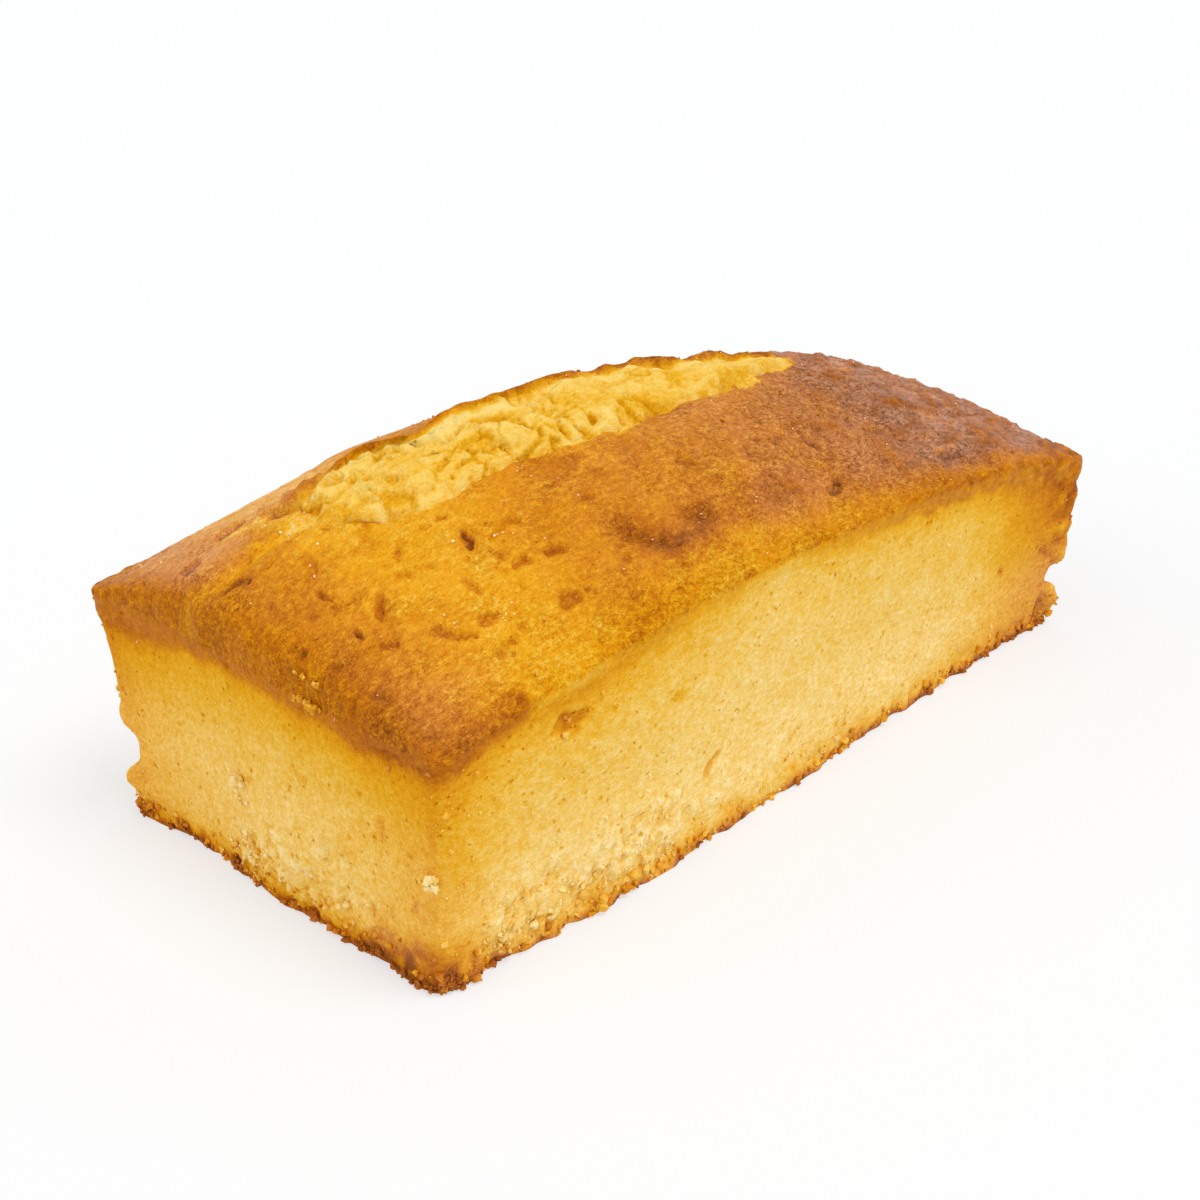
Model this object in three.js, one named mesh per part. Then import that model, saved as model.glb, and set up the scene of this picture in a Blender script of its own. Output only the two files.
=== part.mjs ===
// Pound cake loaf: one uncut solid, baked in a loaf tin with slanting walls.
// Its top domes above the tin line and has split lengthwise, so that a band of
// bare crumb shows between two edges of crust. Millimetres, +Z up. The origin
// is the middle of the base, X runs along the loaf and Y across it.
import * as THREE from "three";

// ---- Driving dimensions, in millimetres ------------------------------------

const LENGTH = 240; // over the rim, where crust meets side wall
const WIDTH = 108; // the same, across
const END_TAPER = 1.8; // each short end draws in this much down to the base
const SIDE_TAPER = 4.2; // each long side draws in this much down to the base
const CORNER_RADIUS = 2.8; // upright corners of the tin

// Numbers that belong together share a name. A ramp adds "by" between two places
// along X or Y, and a waver or relief is the height of an unevenness of the
// given spacing.
const RIM = {
  height: 52.4, // mean of the four corners, where crust meets side wall
  arch: 10.8, // the rim stands this much higher at mid length
  archPower: 2.2, // and falls away as this power of the distance along X
  fall: 4.4, // drop from the -X end to the +X end
  tilt: 1, // the +Y rim stands this much higher than the -Y rim
  waver: 0.7,
  spacing: 17,
};

const CREST = {
  rise: 28.6, // above the rim
  offset: 7, // the crest lies this far to +Y of the middle
  softness: 0.045, // share of the half width over which it is rounded
  drifts: [{ by: 2.9, from: -50, to: -115 }, { by: 5.3, from: 10, to: 110 }], // to +Y, at both ends
  sinks: [{ by: 0.369, from: -70, to: 90 }, { by: 0.257, from: -60, to: -110 }], // shares of the rise
};

// A slope falls as 1 - v^power, to the power of its fullness, from crest to rim.
const NEAR_DOME = { power: 1.55, fullness: 0.82 }; // the -Y slope is the rounder
const FAR_DOME = { power: 1.24, fullness: 0.858 };
const END_DOME = { power: 2.445, fullness: 0.275 }; // the same, lengthwise
const DOME_ENDS = [{ by: 0.16, from: -40, to: -118 }, { by: 0.16, from: 40, to: 118 }]; // rounder there

const CRUMB = {
  swell: 1.3, // the bare crumb bulges between its edges
  relief: 1.5, // height of its lumps
  length: 8, // spacing of the lumps along X
  width: 4.8, // and across
  groove: 1.4, // depth and width of the groove under the -Y crust edge
};
const RIDGE = { height: 2.1, waver: 1.4, spacing: 6, offset: 1.3, width: 1.5 }; // crust edge along the crest
const TORN_EDGE = { waver: 1.1, spacing: 7, fineWaver: 0.6, fineSpacing: 3 }; // -Y edge of the split
const SPLIT_TIPS = { past: 2, in: 10, out: 14 }; // the split fades over these lengths

const CRUST = { relief: 0.45, spacing: 11, fineRelief: 0.27, fineSpacing: 5, settle: 6 };
const WALL = { relief: 0.35, spacing: 14 };
const LIP = { reach: 0.7, waver: 0.35, spacing: 8, depth: 3.5 }; // crust edge proud of the wall
const FOOT = { relief: 1.3, spacing: 4, band: 6 }; // ragged base edge

const BELLY = { reach: 3.4, at: -60, span: 80, endPower: 8, from: -40, to: -48 }; // -Y wall, low down
const HOLLOW = { depth: 2.6, at: 26, span: 17, from: -110, to: -117 }; // -X wall, low down

// Places in the noise field, far enough apart that no two patterns agree.
const LANE = { edge: [3.5, 0.5], fineEdge: [9.5, 0.5], ridge: [7.5, 1.5] };
const SLICE = { rim: 2.5, lumps: 4.5, lip: 5.5, crust: 6.5, fineCrust: 8.5 };

// Mesh density: columns along X, rows across in four zones, rows up the wall.
const COLUMNS = 74;
const FLANK_ROWS = 11; // between the rim and the split, on each side
const CRUMB_ROWS = 10; // over the bare crumb
const RIDGE_ROWS = [0.2, 1.3, 3.2]; // over the standing crust edge, mm past the crumb
const END_CROWDING = 0.25; // columns crowd towards the short ends
const FLANK_CROWDING = 1.15; // rows crowd towards the rim
const EDGE_MARGIN = 0.6; // the crumb's rows start and end this far outside it
const LEAST_CRUMB = { near: 4, far: 3 }; // and keep this far from its middle, past the tips too
const WALL_LEVELS = [0, 0.035, 0.09, 0.16, 0.25, 0.36, 0.48, 0.6, 0.72, 0.83, 0.91, 0.965];

const HALF_LENGTH = LENGTH / 2;
const HALF_WIDTH = WIDTH / 2;

// The split at stations along X: its -Y edge and its +Y edge.
const SPLIT = [
  { x: -97, near: 8, far: 11 },
  { x: -91, near: -3, far: 16.5 },
  { x: -85.5, near: -6.8, far: 18 },
  { x: -78, near: -10, far: 20 },
  { x: -72, near: -11.2, far: 18.5 },
  { x: -68.5, near: -11.7, far: 8.5 },
  { x: -62, near: -12.5, far: 8 },
  { x: -34, near: -14.5, far: 8 },
  { x: -14, near: -13.5, far: 8 },
  { x: 2, near: -11, far: 8 },
  { x: 27, near: -8.5, far: 7.5 },
  { x: 43, near: -3, far: 7 },
  { x: 66, near: 3, far: 5 },
];

// Marks on the top, in plan: pits and creases have a negative height.
const TOP_MARKS = [
  { name: "lower crease", path: [[-94, 10], [-104, 14], [-114, 16], [-119, 20]], radius: 2.2, height: -1.8 },
  { name: "upper crease", path: [[-88, 15], [-95, 21], [-102, 30]], radius: 2, height: -1.6 },
  { name: "crumb crease", path: [[-83, -3], [-76, -7], [-54, -9], [-32, -11]], radius: 1.6, height: -1.3 },
  { name: "upper tear", path: [[-80, 3], [-68, 0], [-50, 1], [-34, -1]], radius: 1.8, height: -1.1 },
  { name: "fold below the split", path: [[-29, -15], [-34, -25]], radius: 1.6, height: -0.8 },
  { name: "long dent", path: [[-51, -37], [-45, -41]], radius: 3.4, height: -2.2 },
  { name: "round dent", path: [[-33, -39], [-29, -40]], radius: 3.2, height: -1.6 },
  { name: "fold under the dents", path: [[-51, -43], [-42, -44.5], [-32, -43.5]], radius: 2, height: 1 },
  { name: "steam hole", path: [[-81, -23], [-80, -19]], radius: 1.6, height: -2.2 },
  { name: "flake edge", path: [[-103, -20], [-107, -27]], radius: 1.8, height: -1.1 },
  { name: "crest knob", path: [[81, 8], [82, 8]], radius: 2, height: 1.6 },
  { name: "second crest knob", path: [[86, 7], [87, 7]], radius: 1.8, height: 1 },
];

// Marks on the walls, in space: height is measured outwards.
const WALL_MARKS = [
  { name: "-X +Y corner, upper crumb", path: [[-119, 52, 25], [-119, 52, 23]], radius: 2.6, height: 1.4 },
  { name: "-X +Y corner, bite", path: [[-118, 51, 18], [-118, 51, 15]], radius: 3.6, height: -2.8 },
  { name: "-X +Y corner, lower crumb", path: [[-118, 50, 10], [-118, 50, 9]], radius: 2.6, height: 2.6 },
  { name: "+X -Y corner, swell", path: [[119, -52, 36], [119, -51, 22]], radius: 7, height: 2 },
  { name: "+X -Y corner, bite", path: [[118, -50, 15], [118, -50, 13]], radius: 3.2, height: -3.6 },
  { name: "+X -Y corner, lump", path: [[118, -50, 10], [118, -50, 7.5]], radius: 3, height: 3 },
  { name: "-Y wall foot, chip", path: [[-105, -53, 0], [-99, -53, 0]], radius: 4, height: -2 },
  { name: "-X -Y corner, foot crumb", path: [[-109, -53, 1], [-108, -53, 1]], radius: 2.6, height: 2.6 },
  { name: "+X -Y corner, lip", path: [[120, -54, 44], [120, -54, 42]], radius: 6, height: 1.2 },
  { name: "-X +Y corner, lip", path: [[-120, 54, 53], [-120, 54, 51]], radius: 8, height: 1.2 },
];

// ---- Small mathematics -------------------------------------------------------

const clamp = (value, low, high) => Math.min(high, Math.max(low, value));
const mix = (a, b, t) => a + (b - a) * t;
const bell = (distance, radius) => Math.exp(-((distance / radius) ** 2));

/** Smooth 0 to 1 as x goes from start to end, in either direction. */
function ease(start, end, x) {
  const t = clamp((x - start) / (end - start), 0, 1);
  return t * t * (3 - 2 * t);
}

/** A repeatable value from -1 to 1 for a lattice point. */
function latticeValue(i, j, k) {
  let hash = Math.imul(i, 374761393) ^ Math.imul(j, 668265263) ^ Math.imul(k, 1274126177);
  hash = Math.imul(hash ^ (hash >>> 13), 1103515245);
  hash ^= hash >>> 16;
  return (hash >>> 0) / 2147483648 - 1;
}

/** Sum of the ramps at x. */
function ramps(list, x) {
  return list.reduce((sum, ramp) => sum + ramp.by * ease(ramp.from, ramp.to, x), 0);
}

/** Smooth noise of unit spacing: lattice values blended in three directions. */
function noise(x, y, z) {
  const [i, j, k] = [Math.floor(x), Math.floor(y), Math.floor(z)];
  const [u, v, w] = [ease(0, 1, x - i), ease(0, 1, y - j), ease(0, 1, z - k)];
  const edge = (dj, dk) => mix(latticeValue(i, j + dj, k + dk), latticeValue(i + 1, j + dj, k + dk), u);
  return mix(mix(edge(0, 0), edge(1, 0), v), mix(edge(0, 1), edge(1, 1), v), w);
}

/** Distance from a point to a path of straight pieces, in two or three dimensions. */
function distanceToPath(point, path) {
  let nearest = Infinity;
  for (let n = 1; n < path.length; n += 1) {
    const from = new THREE.Vector3(...path[n - 1]);
    const to = new THREE.Vector3(...path[n]);
    const foot = new THREE.Line3(from, to).closestPointToPoint(point, true, new THREE.Vector3());
    nearest = Math.min(nearest, foot.distanceTo(point));
  }
  return nearest;
}

/** Sum of the bell-shaped marks at a point. */
function markHeight(marks, point) {
  const heightOf = (mark) => mark.height * bell(distanceToPath(point, mark.path), mark.radius);
  return marks.reduce((sum, mark) => sum + heightOf(mark), 0);
}

// ---- The split in the crust --------------------------------------------------

const nearEdge = new THREE.CubicInterpolant(SPLIT.map((s) => s.x), SPLIT.map((s) => s.near), 1);
const farEdge = new THREE.CubicInterpolant(SPLIT.map((s) => s.x), SPLIT.map((s) => s.far), 1);
const SPLIT_START = SPLIT[0].x;
const SPLIT_END = SPLIT.at(-1).x;

/** Both edges of the split at x, with the waver of torn crust. */
function splitEdges(x) {
  const along = clamp(x, SPLIT_START, SPLIT_END);
  const coarse = TORN_EDGE.waver * noise(x / TORN_EDGE.spacing, ...LANE.edge);
  const fine = TORN_EDGE.fineWaver * noise(x / TORN_EDGE.fineSpacing, ...LANE.fineEdge);
  return { near: nearEdge.evaluate(along)[0] + coarse + fine, far: farEdge.evaluate(along)[0] };
}

/** 1 along the split, fading to 0 at its two tips. */
function splitStrength(x) {
  const { past } = SPLIT_TIPS;
  return ease(SPLIT_START - past, SPLIT_START + SPLIT_TIPS.in, x)
    * ease(SPLIT_END + past, SPLIT_END - SPLIT_TIPS.out, x);
}

/** Height added by the split: a groove, then lumpy crumb, then the standing crust edge. */
function splitRelief(x, y) {
  const strength = splitStrength(x);
  if (strength === 0) return 0;
  const { near, far } = splitEdges(x);
  const inside = ease(near - 0.4, near + 0.8, y) * ease(far + 0.6, far - 0.6, y);
  const across = clamp((y - near) / (far - near), 0, 1);
  const swell = CRUMB.swell * Math.sin(Math.PI * across);
  const groove = CRUMB.groove * bell(y - near - 1, CRUMB.groove);
  const lumps = CRUMB.relief * noise(x / CRUMB.length, y / CRUMB.width, SLICE.lumps);
  const height = RIDGE.height + RIDGE.waver * noise(x / RIDGE.spacing, ...LANE.ridge);
  const ridge = height * bell(y - far - RIDGE.offset, RIDGE.width);
  return strength * (inside * (swell - groove + lumps) + ridge);
}

// ---- The dome ----------------------------------------------------------------

/** Height of the rim over the tin wall: arched along X and tilted both ways. */
function rimHeight(x, y) {
  const u = clamp(x / HALF_LENGTH, -1, 1);
  const arch = RIM.arch * (1 - Math.abs(u) ** RIM.archPower);
  const waver = RIM.waver * noise(x / RIM.spacing, y / RIM.spacing, SLICE.rim);
  return RIM.height + arch - (RIM.fall / 2) * u + (RIM.tilt / 2) * (y / HALF_WIDTH) + waver;
}

/** Place of the crest across the loaf. It drifts towards +Y at both ends. */
function crestY(x) {
  return CREST.offset + ramps(CREST.drifts, x);
}

/** Rise of the crest above the rim, lower at the +X end and round at both ends. */
function crestRise(x) {
  const u = clamp(Math.abs(x) / HALF_LENGTH, 0, 1);
  const left = CREST.sinks.reduce((share, sink) => share * (1 - ramps([sink], x)), 1);
  return CREST.rise * left * (1 - u ** END_DOME.power) ** END_DOME.fullness;
}

/** Smooth dome: full height at the crest, none at the rim. */
function domeShare(x, y) {
  const crest = crestY(x);
  const side = y > crest ? FAR_DOME : NEAR_DOME;
  const half = y > crest ? HALF_WIDTH - crest : HALF_WIDTH + crest;
  const v = clamp(Math.abs(y - crest) / half, 0, 1);
  const soft = Math.min(1, Math.hypot(v, CREST.softness * (1 - v)));
  return (1 - soft ** (side.power + ramps(DOME_ENDS, x))) ** side.fullness;
}

/** Height of the top surface at a place in plan. */
function topHeight(x, y) {
  const fromRim = Math.min(HALF_LENGTH - Math.abs(x), HALF_WIDTH - Math.abs(y));
  const settle = ease(0, CRUST.settle, fromRim);
  const slow = CRUST.relief * noise(x / CRUST.spacing, y / CRUST.spacing, SLICE.crust);
  const fine = CRUST.fineRelief * noise(x / CRUST.fineSpacing, y / CRUST.fineSpacing, SLICE.fineCrust);
  const marks = markHeight(TOP_MARKS, new THREE.Vector3(x, y, 0));
  const dome = crestRise(x) * domeShare(x, y);
  return rimHeight(x, y) + dome + splitRelief(x, y) + settle * (slow + fine + marks);
}

// ---- The walls -----------------------------------------------------------------

/** Moves a place in the corner square onto the round corner of the tin. */
function roundCorner(x, y) {
  const [cx, cy] = [HALF_LENGTH - CORNER_RADIUS, HALF_WIDTH - CORNER_RADIUS];
  const a = clamp((Math.abs(x) - cx) / CORNER_RADIUS, 0, 1);
  const b = clamp((Math.abs(y) - cy) / CORNER_RADIUS, 0, 1);
  if (a === 0 || b === 0) return new THREE.Vector2(x, y);
  return new THREE.Vector2(
    Math.sign(x) * (cx + CORNER_RADIUS * a * Math.sqrt(1 - (b * b) / 2)),
    Math.sign(y) * (cy + CORNER_RADIUS * b * Math.sqrt(1 - (a * a) / 2)),
  );
}

/** Direction away from the loaf in plan, square to the nearest wall. */
function outward(x, y) {
  const a = Math.max(0, Math.abs(x) - HALF_LENGTH + CORNER_RADIUS);
  const b = Math.max(0, Math.abs(y) - HALF_WIDTH + CORNER_RADIUS);
  return new THREE.Vector2(Math.sign(x) * a, Math.sign(y) * b).normalize();
}

/** How far the wall stands out from the tin's plane at a point of it. */
function wallRelief(x, y, z, rim) {
  const u = x / HALF_LENGTH;
  const low = 1 - z / rim;
  const middle = (1 - Math.abs(u) ** BELLY.endPower) * ease(BELLY.from, BELLY.to, y);
  const belly = BELLY.reach * bell(x - BELLY.at, BELLY.span) * middle * low;
  const hollow = HOLLOW.depth * bell(y - HOLLOW.at, HOLLOW.span) * ease(HOLLOW.from, HOLLOW.to, x) * low;
  const slow = WALL.relief * noise(x / WALL.spacing, y / WALL.spacing, z / WALL.spacing);
  const foot = FOOT.relief * noise(x / FOOT.spacing, y / FOOT.spacing, z / FOOT.spacing);
  const crumble = foot * Math.exp(-z / FOOT.band);
  const edge = LIP.reach + LIP.waver * noise(x / LIP.spacing, y / LIP.spacing, SLICE.lip);
  const lip = edge * bell(rim - z, LIP.depth);
  return belly - hollow + slow + crumble + lip + markHeight(WALL_MARKS, new THREE.Vector3(x, y, z));
}

/** A point of the wall under a rim point, at a share of the rim's height. */
function wallPoint(plan, level) {
  const rim = rimHeight(plan.x, plan.y);
  const z = rim * level;
  const x = plan.x * (1 - (END_TAPER / HALF_LENGTH) * (1 - level));
  const y = plan.y * (1 - (SIDE_TAPER / HALF_WIDTH) * (1 - level));
  const shift = outward(plan.x, plan.y).multiplyScalar(wallRelief(x, y, z, rim));
  return new THREE.Vector3(x + shift.x, y + shift.y, z);
}

/** A point of the top. Its outermost few millimetres follow the lip outwards. */
function topPoint(x, y) {
  const plan = roundCorner(x, y);
  const rim = rimHeight(plan.x, plan.y);
  const fromRim = Math.min(HALF_LENGTH - Math.abs(x), HALF_WIDTH - Math.abs(y));
  const reach = wallRelief(plan.x, plan.y, rim, rim) * bell(fromRim, LIP.depth);
  const shift = outward(plan.x, plan.y).multiplyScalar(reach);
  return new THREE.Vector3(plan.x + shift.x, plan.y + shift.y, fromRim > 0 ? topHeight(plan.x, plan.y) : rim);
}

// ---- The mesh ------------------------------------------------------------------

/** Place along X of a column, closer together towards both short ends. */
function columnX(column) {
  const s = (2 * column) / COLUMNS - 1;
  return HALF_LENGTH * (s + END_CROWDING * s * (1 - s * s));
}

/** Places along Y of the rows at x. The middle rows follow the edges of the split. */
function rowPlaces(x) {
  const edges = splitEdges(x);
  const middle = (edges.near + edges.far) / 2;
  const near = Math.min(edges.near - EDGE_MARGIN, middle - LEAST_CRUMB.near);
  const far = Math.max(edges.far - EDGE_MARGIN, middle + LEAST_CRUMB.far);
  const ridge = RIDGE_ROWS.map((step) => far + EDGE_MARGIN + step);
  const crowd = (row) => (row / FLANK_ROWS) ** FLANK_CROWDING;
  const flank = Array.from({ length: FLANK_ROWS }, (_, row) => row);
  const crumb = Array.from({ length: CRUMB_ROWS }, (_, row) => row / CRUMB_ROWS);
  return [
    ...flank.map((row) => mix(-HALF_WIDTH, near, crowd(row))),
    ...crumb.map((share) => mix(near, far, share)),
    far,
    ...ridge,
    ...flank.map((row) => mix(HALF_WIDTH, ridge.at(-1), crowd(row))).reverse(),
  ];
}

/** The closed surface of the loaf: top grid, wall rings and flat base. */
function loafGeometry() {
  const grid = Array.from({ length: COLUMNS + 1 }, (_, column) => rowPlaces(columnX(column)));
  const rows = grid[0].length - 1;
  const points = [];
  const faces = [];
  const addQuad = (a, b, c, d) => faces.push(a, b, c, a, c, d);

  const topIndex = (column, row) => column * (rows + 1) + row;
  grid.forEach((places, column) => places.forEach((y) => points.push(topPoint(columnX(column), y))));
  for (let column = 0; column < COLUMNS; column += 1) {
    for (let row = 0; row < rows; row += 1) {
      addQuad(
        topIndex(column, row),
        topIndex(column + 1, row),
        topIndex(column + 1, row + 1),
        topIndex(column, row + 1),
      );
    }
  }

  const rim = [];
  for (let column = 0; column < COLUMNS; column += 1) rim.push([column, 0]);
  for (let row = 0; row < rows; row += 1) rim.push([COLUMNS, row]);
  for (let column = COLUMNS; column > 0; column -= 1) rim.push([column, rows]);
  for (let row = rows; row > 0; row -= 1) rim.push([0, row]);

  const plans = rim.map(([column, row]) => roundCorner(columnX(column), grid[column][row]));
  const levels = WALL_LEVELS.map((level) =>
    plans.map((plan) => points.push(wallPoint(plan, level)) - 1));
  levels.push(rim.map(([column, row]) => topIndex(column, row)));
  for (let level = 1; level < levels.length; level += 1) {
    const [lower, upper] = [levels[level - 1], levels[level]];
    lower.forEach((_, n) => {
      const next = (n + 1) % lower.length;
      addQuad(lower[n], lower[next], upper[next], upper[n]);
    });
  }

  const base = levels[0];
  const outline = base.map((index) => new THREE.Vector2(points[index].x, points[index].y));
  const baseFaces = THREE.ShapeUtils.triangulateShape(outline, []);
  baseFaces.forEach(([a, b, c]) => faces.push(base[a], base[c], base[b]));

  const geometry = new THREE.BufferGeometry().setFromPoints(points);
  geometry.setIndex(faces);
  geometry.computeVertexNormals();
  return geometry;
}

const crust = new THREE.MeshStandardMaterial({ color: "#dc9a3c", roughness: 0.75, metalness: 0 });
const loaf = new THREE.Mesh(loafGeometry(), crust);
loaf.name = "loaf";

const group = new THREE.Group();
group.add(loaf);

export default group;
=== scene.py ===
"""Pound cake loaf: one baked loaf with a split, browned top, on a plain studio floor.

The loaf's main form repeats the part's own formulas in millimetres. The fine relief of
crust and crumb, the browning, the painted sheen, light and shade, and the clinging crumbs
are added here. X runs along the loaf, Y across it and Z up; meshes are written in metres.

Fields share their endings. Of a value v, v_along and v_across are how it changes along X
and Y, v_waver how uneven it is, v_spacing the spacing of its noise, v_band where it sets
in and where it is full, v_gate a slow noise that leaves places without it, v_reach how
far it is felt, v_share a share from 0 to 1, v_bend or v_bends how its outline is made
ragged, and v_bake its bake or what it adds to the bake. A bake runs from 0, pale crumb,
to 1, nearly burnt. Lengths are in millimetres where nothing else is said.
"""

import logging
from dataclasses import dataclass, field
from enum import Enum

import bpy
import numpy as np
from mathutils import Matrix

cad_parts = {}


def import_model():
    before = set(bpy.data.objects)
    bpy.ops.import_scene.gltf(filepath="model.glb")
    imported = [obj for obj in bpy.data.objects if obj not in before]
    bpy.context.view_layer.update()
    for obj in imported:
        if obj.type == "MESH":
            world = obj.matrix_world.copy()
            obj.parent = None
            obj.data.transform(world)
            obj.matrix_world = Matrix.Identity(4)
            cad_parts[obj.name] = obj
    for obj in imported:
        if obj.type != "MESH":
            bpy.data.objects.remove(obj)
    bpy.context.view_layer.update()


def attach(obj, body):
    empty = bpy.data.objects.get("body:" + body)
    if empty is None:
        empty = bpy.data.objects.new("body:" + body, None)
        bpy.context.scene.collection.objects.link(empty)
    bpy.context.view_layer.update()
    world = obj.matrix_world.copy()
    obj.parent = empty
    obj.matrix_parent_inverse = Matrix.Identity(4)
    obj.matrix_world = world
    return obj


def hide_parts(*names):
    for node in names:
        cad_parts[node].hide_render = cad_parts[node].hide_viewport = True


Array = np.ndarray
Path = tuple[tuple[float, ...], ...]
Band = tuple[float, float]  # where something sets in, and where it is full
Steps = tuple[tuple[float, str], ...]  # (place from 0 to 1, hex colour)
Tree = bpy.types.NodeTree
Socket = bpy.types.NodeSocket

MM = 0.001  # metres in a millimetre

log = logging.getLogger("loaf")


# ---- Small mathematics ----


def mix(a: Array, b: Array, share: Array) -> Array:
    """Straight blend from a to b."""
    return a + (b - a) * share


def ease(start: float, end: float, x: Array) -> Array:
    """Smooth 0 to 1, as 3t^2 - 2t^3, while x goes from start to end in either direction."""
    t = np.clip((x - start) / (end - start), 0.0, 1.0)
    return t * t * (3.0 - 2.0 * t)


def bell(distance: Array, radius: float | Array) -> Array:
    """exp(-(distance / radius)^2)."""
    return np.exp(-((distance / radius) ** 2))


def lattice_value(i: Array, j: Array, k: Array) -> Array:
    """A repeatable value from -1 to 1 for each lattice point, by hashing its whole numbers.

    Args:
        i, j, k: whole-number arrays that broadcast together.

    Returns:
        The values, as an array of that shape.
    """
    def word(n: Array) -> Array:
        """Whole numbers as unsigned words of 32 bits."""
        return np.asarray(n).astype(np.int64).astype(np.uint32)

    mixed = (word(i) * np.uint32(374761393)) ^ (word(j) * np.uint32(668265263))
    mixed = mixed ^ (word(k) * np.uint32(1274126177))
    mixed = (mixed ^ (mixed >> np.uint32(13))) * np.uint32(1103515245)
    mixed = mixed ^ (mixed >> np.uint32(16))
    return mixed / 2147483648.0 - 1.0


def noise(x: Array, y: Array, z: Array) -> Array:
    """Smooth noise of unit spacing: eight lattice values blended by ease in each direction.

    Args:
        x, y, z: places in the noise field, arrays or numbers. A plain number picks one of
            many independent noises.

    Returns:
        Values from -1 to 1.
    """
    x, y, z = np.broadcast_arrays(np.asarray(x, float), np.asarray(y, float), np.asarray(z, float))
    i, j, k = np.floor(x), np.floor(y), np.floor(z)
    u, v, w = ease(0, 1, x - i), ease(0, 1, y - j), ease(0, 1, z - k)
    blended = np.zeros(x.shape)
    for di in (0, 1):
        for dj in (0, 1):
            for dk in (0, 1):
                weight = (u if di else 1 - u) * (v if dj else 1 - v) * (w if dk else 1 - w)
                blended += weight * lattice_value(i + di, j + dj, k + dk)
    return blended


@dataclass(frozen=True)
class Cells:
    """Scattered seeds, one to a cubic cell: the base of lumps, pits and pores.

    Attributes:
        size: edge of a cell in millimetres.
        jitter: how far a seed strays from the middle of its cell, in cells.
        salt: picks an independent scatter.
    """

    size: float
    jitter: float = 0.42
    salt: int = 0

    def nearest(self, points: Array) -> tuple[Array, Array, Array]:
        """Finds the two nearest seeds of each point among the 27 cells around it.

        Args:
            points: places in millimetres, one a row.

        Returns:
            Distance to the nearest seed and to the second, in millimetres, and the nearest
            seed's own random value from 0 to 1.
        """
        scaled = points / self.size
        home = np.floor(scaled)
        first = np.full(len(points), np.inf)
        second = np.full(len(points), np.inf)
        value = np.zeros(len(points))
        for step in np.ndindex(3, 3, 3):
            cell = home + np.array(step) - 1
            i, j, k = cell.T + self.salt
            stray = np.stack([lattice_value(i, j, k + 101 * axis) for axis in (1, 2, 3)], -1)
            distance = np.linalg.norm(cell + 0.5 + self.jitter * stray - scaled, axis=1)
            closer = distance < first
            second = np.where(closer, first, np.minimum(second, distance))
            value = np.where(closer, lattice_value(i, j, k + 505), value)
            first = np.minimum(first, distance)
        return first * self.size, second * self.size, 0.5 + 0.5 * value


AXIS_SALTS = (200.5, 300.5, 400.5)  # each axis is bent by a noise of its own


@dataclass(frozen=True)
class Bend:
    """Moves places along each axis by a noise of its own, which makes round features ragged.

    Attributes:
        spacing: of the noise, in millimetres.
        by: the largest move, in millimetres.
    """

    spacing: float
    by: float

    def of(self, points: Array) -> Array:
        """The moved places, from places in millimetres, one a row, in two or three dimensions."""
        x, y = points.T[:2] / self.spacing
        z = points.T[2] / self.spacing if points.shape[1] > 2 else 0.0
        moves = [noise(x, y, z + salt) for salt in AXIS_SALTS[:points.shape[1]]]
        return points + self.by * np.stack(moves, -1)


def bent(points: Array, bends: tuple[Bend, ...]) -> Array:
    """Places moved by each bend in turn."""
    for bend in bends:
        points = bend.of(points)
    return points


def distance_to_path(points: Array, path: Path) -> Array:
    """Distance from points to a path of straight pieces.

    Args:
        points: places, one a row, in as many dimensions as the path.
        path: the path's corners.

    Returns:
        One distance a point: the least over the pieces, each measured at the point's foot.
    """
    corners = np.array(path, float)
    least = np.full(len(points), np.inf)
    for start, end in zip(corners[:-1], corners[1:]):
        along = end - start
        length_squared = max(float(along @ along), 1e-9)
        share = np.clip(((points - start) @ along) / length_squared, 0, 1)
        foot = start + share[:, None] * along
        least = np.minimum(least, np.linalg.norm(points - foot, axis=1))
    return least


@dataclass(frozen=True)
class Ramp:
    """Adds "by" smoothly between two places."""

    by: float
    start: float
    end: float

    def at(self, x: Array) -> Array:
        """Its value at x."""
        return self.by * ease(self.start, self.end, x)


@dataclass(frozen=True)
class Bump:
    """Adds "by" at one place and less of it around, as a bell."""

    by: float
    middle: float
    radius: float

    def at(self, x: Array) -> Array:
        """Its value at x."""
        return self.by * bell(x - self.middle, self.radius)


@dataclass(frozen=True)
class Fade:
    """Adds "by" at 0, which falls as exp(-x / reach)."""

    by: float
    reach: float

    def at(self, x: Array) -> Array:
        """Its value at x."""
        return self.by * np.exp(-x / self.reach)


@dataclass(frozen=True)
class Waver:
    """Adds noise of size "by", with a spacing for each axis. The salt picks the noise."""

    by: float
    spacing: tuple[float, ...]
    salt: float

    def at(self, x: Array, y: Array | float, z: Array | float = 0.0) -> Array:
        """Its value at a place."""
        a, b, c = (*self.spacing, 1.0)[:3]
        return self.by * noise(x / a, y / b, z / c + self.salt)


Terms = tuple[Ramp | Bump | Fade | Waver, ...]


def total(terms: Terms, *place: Array) -> Array:
    """Sum of the terms at a place."""
    return sum(term.at(*place) for term in terms)


FIRM_EDGE: Band = (1.35, 0.6)  # where the edge of a firm mark is, in shares of its radius


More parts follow.
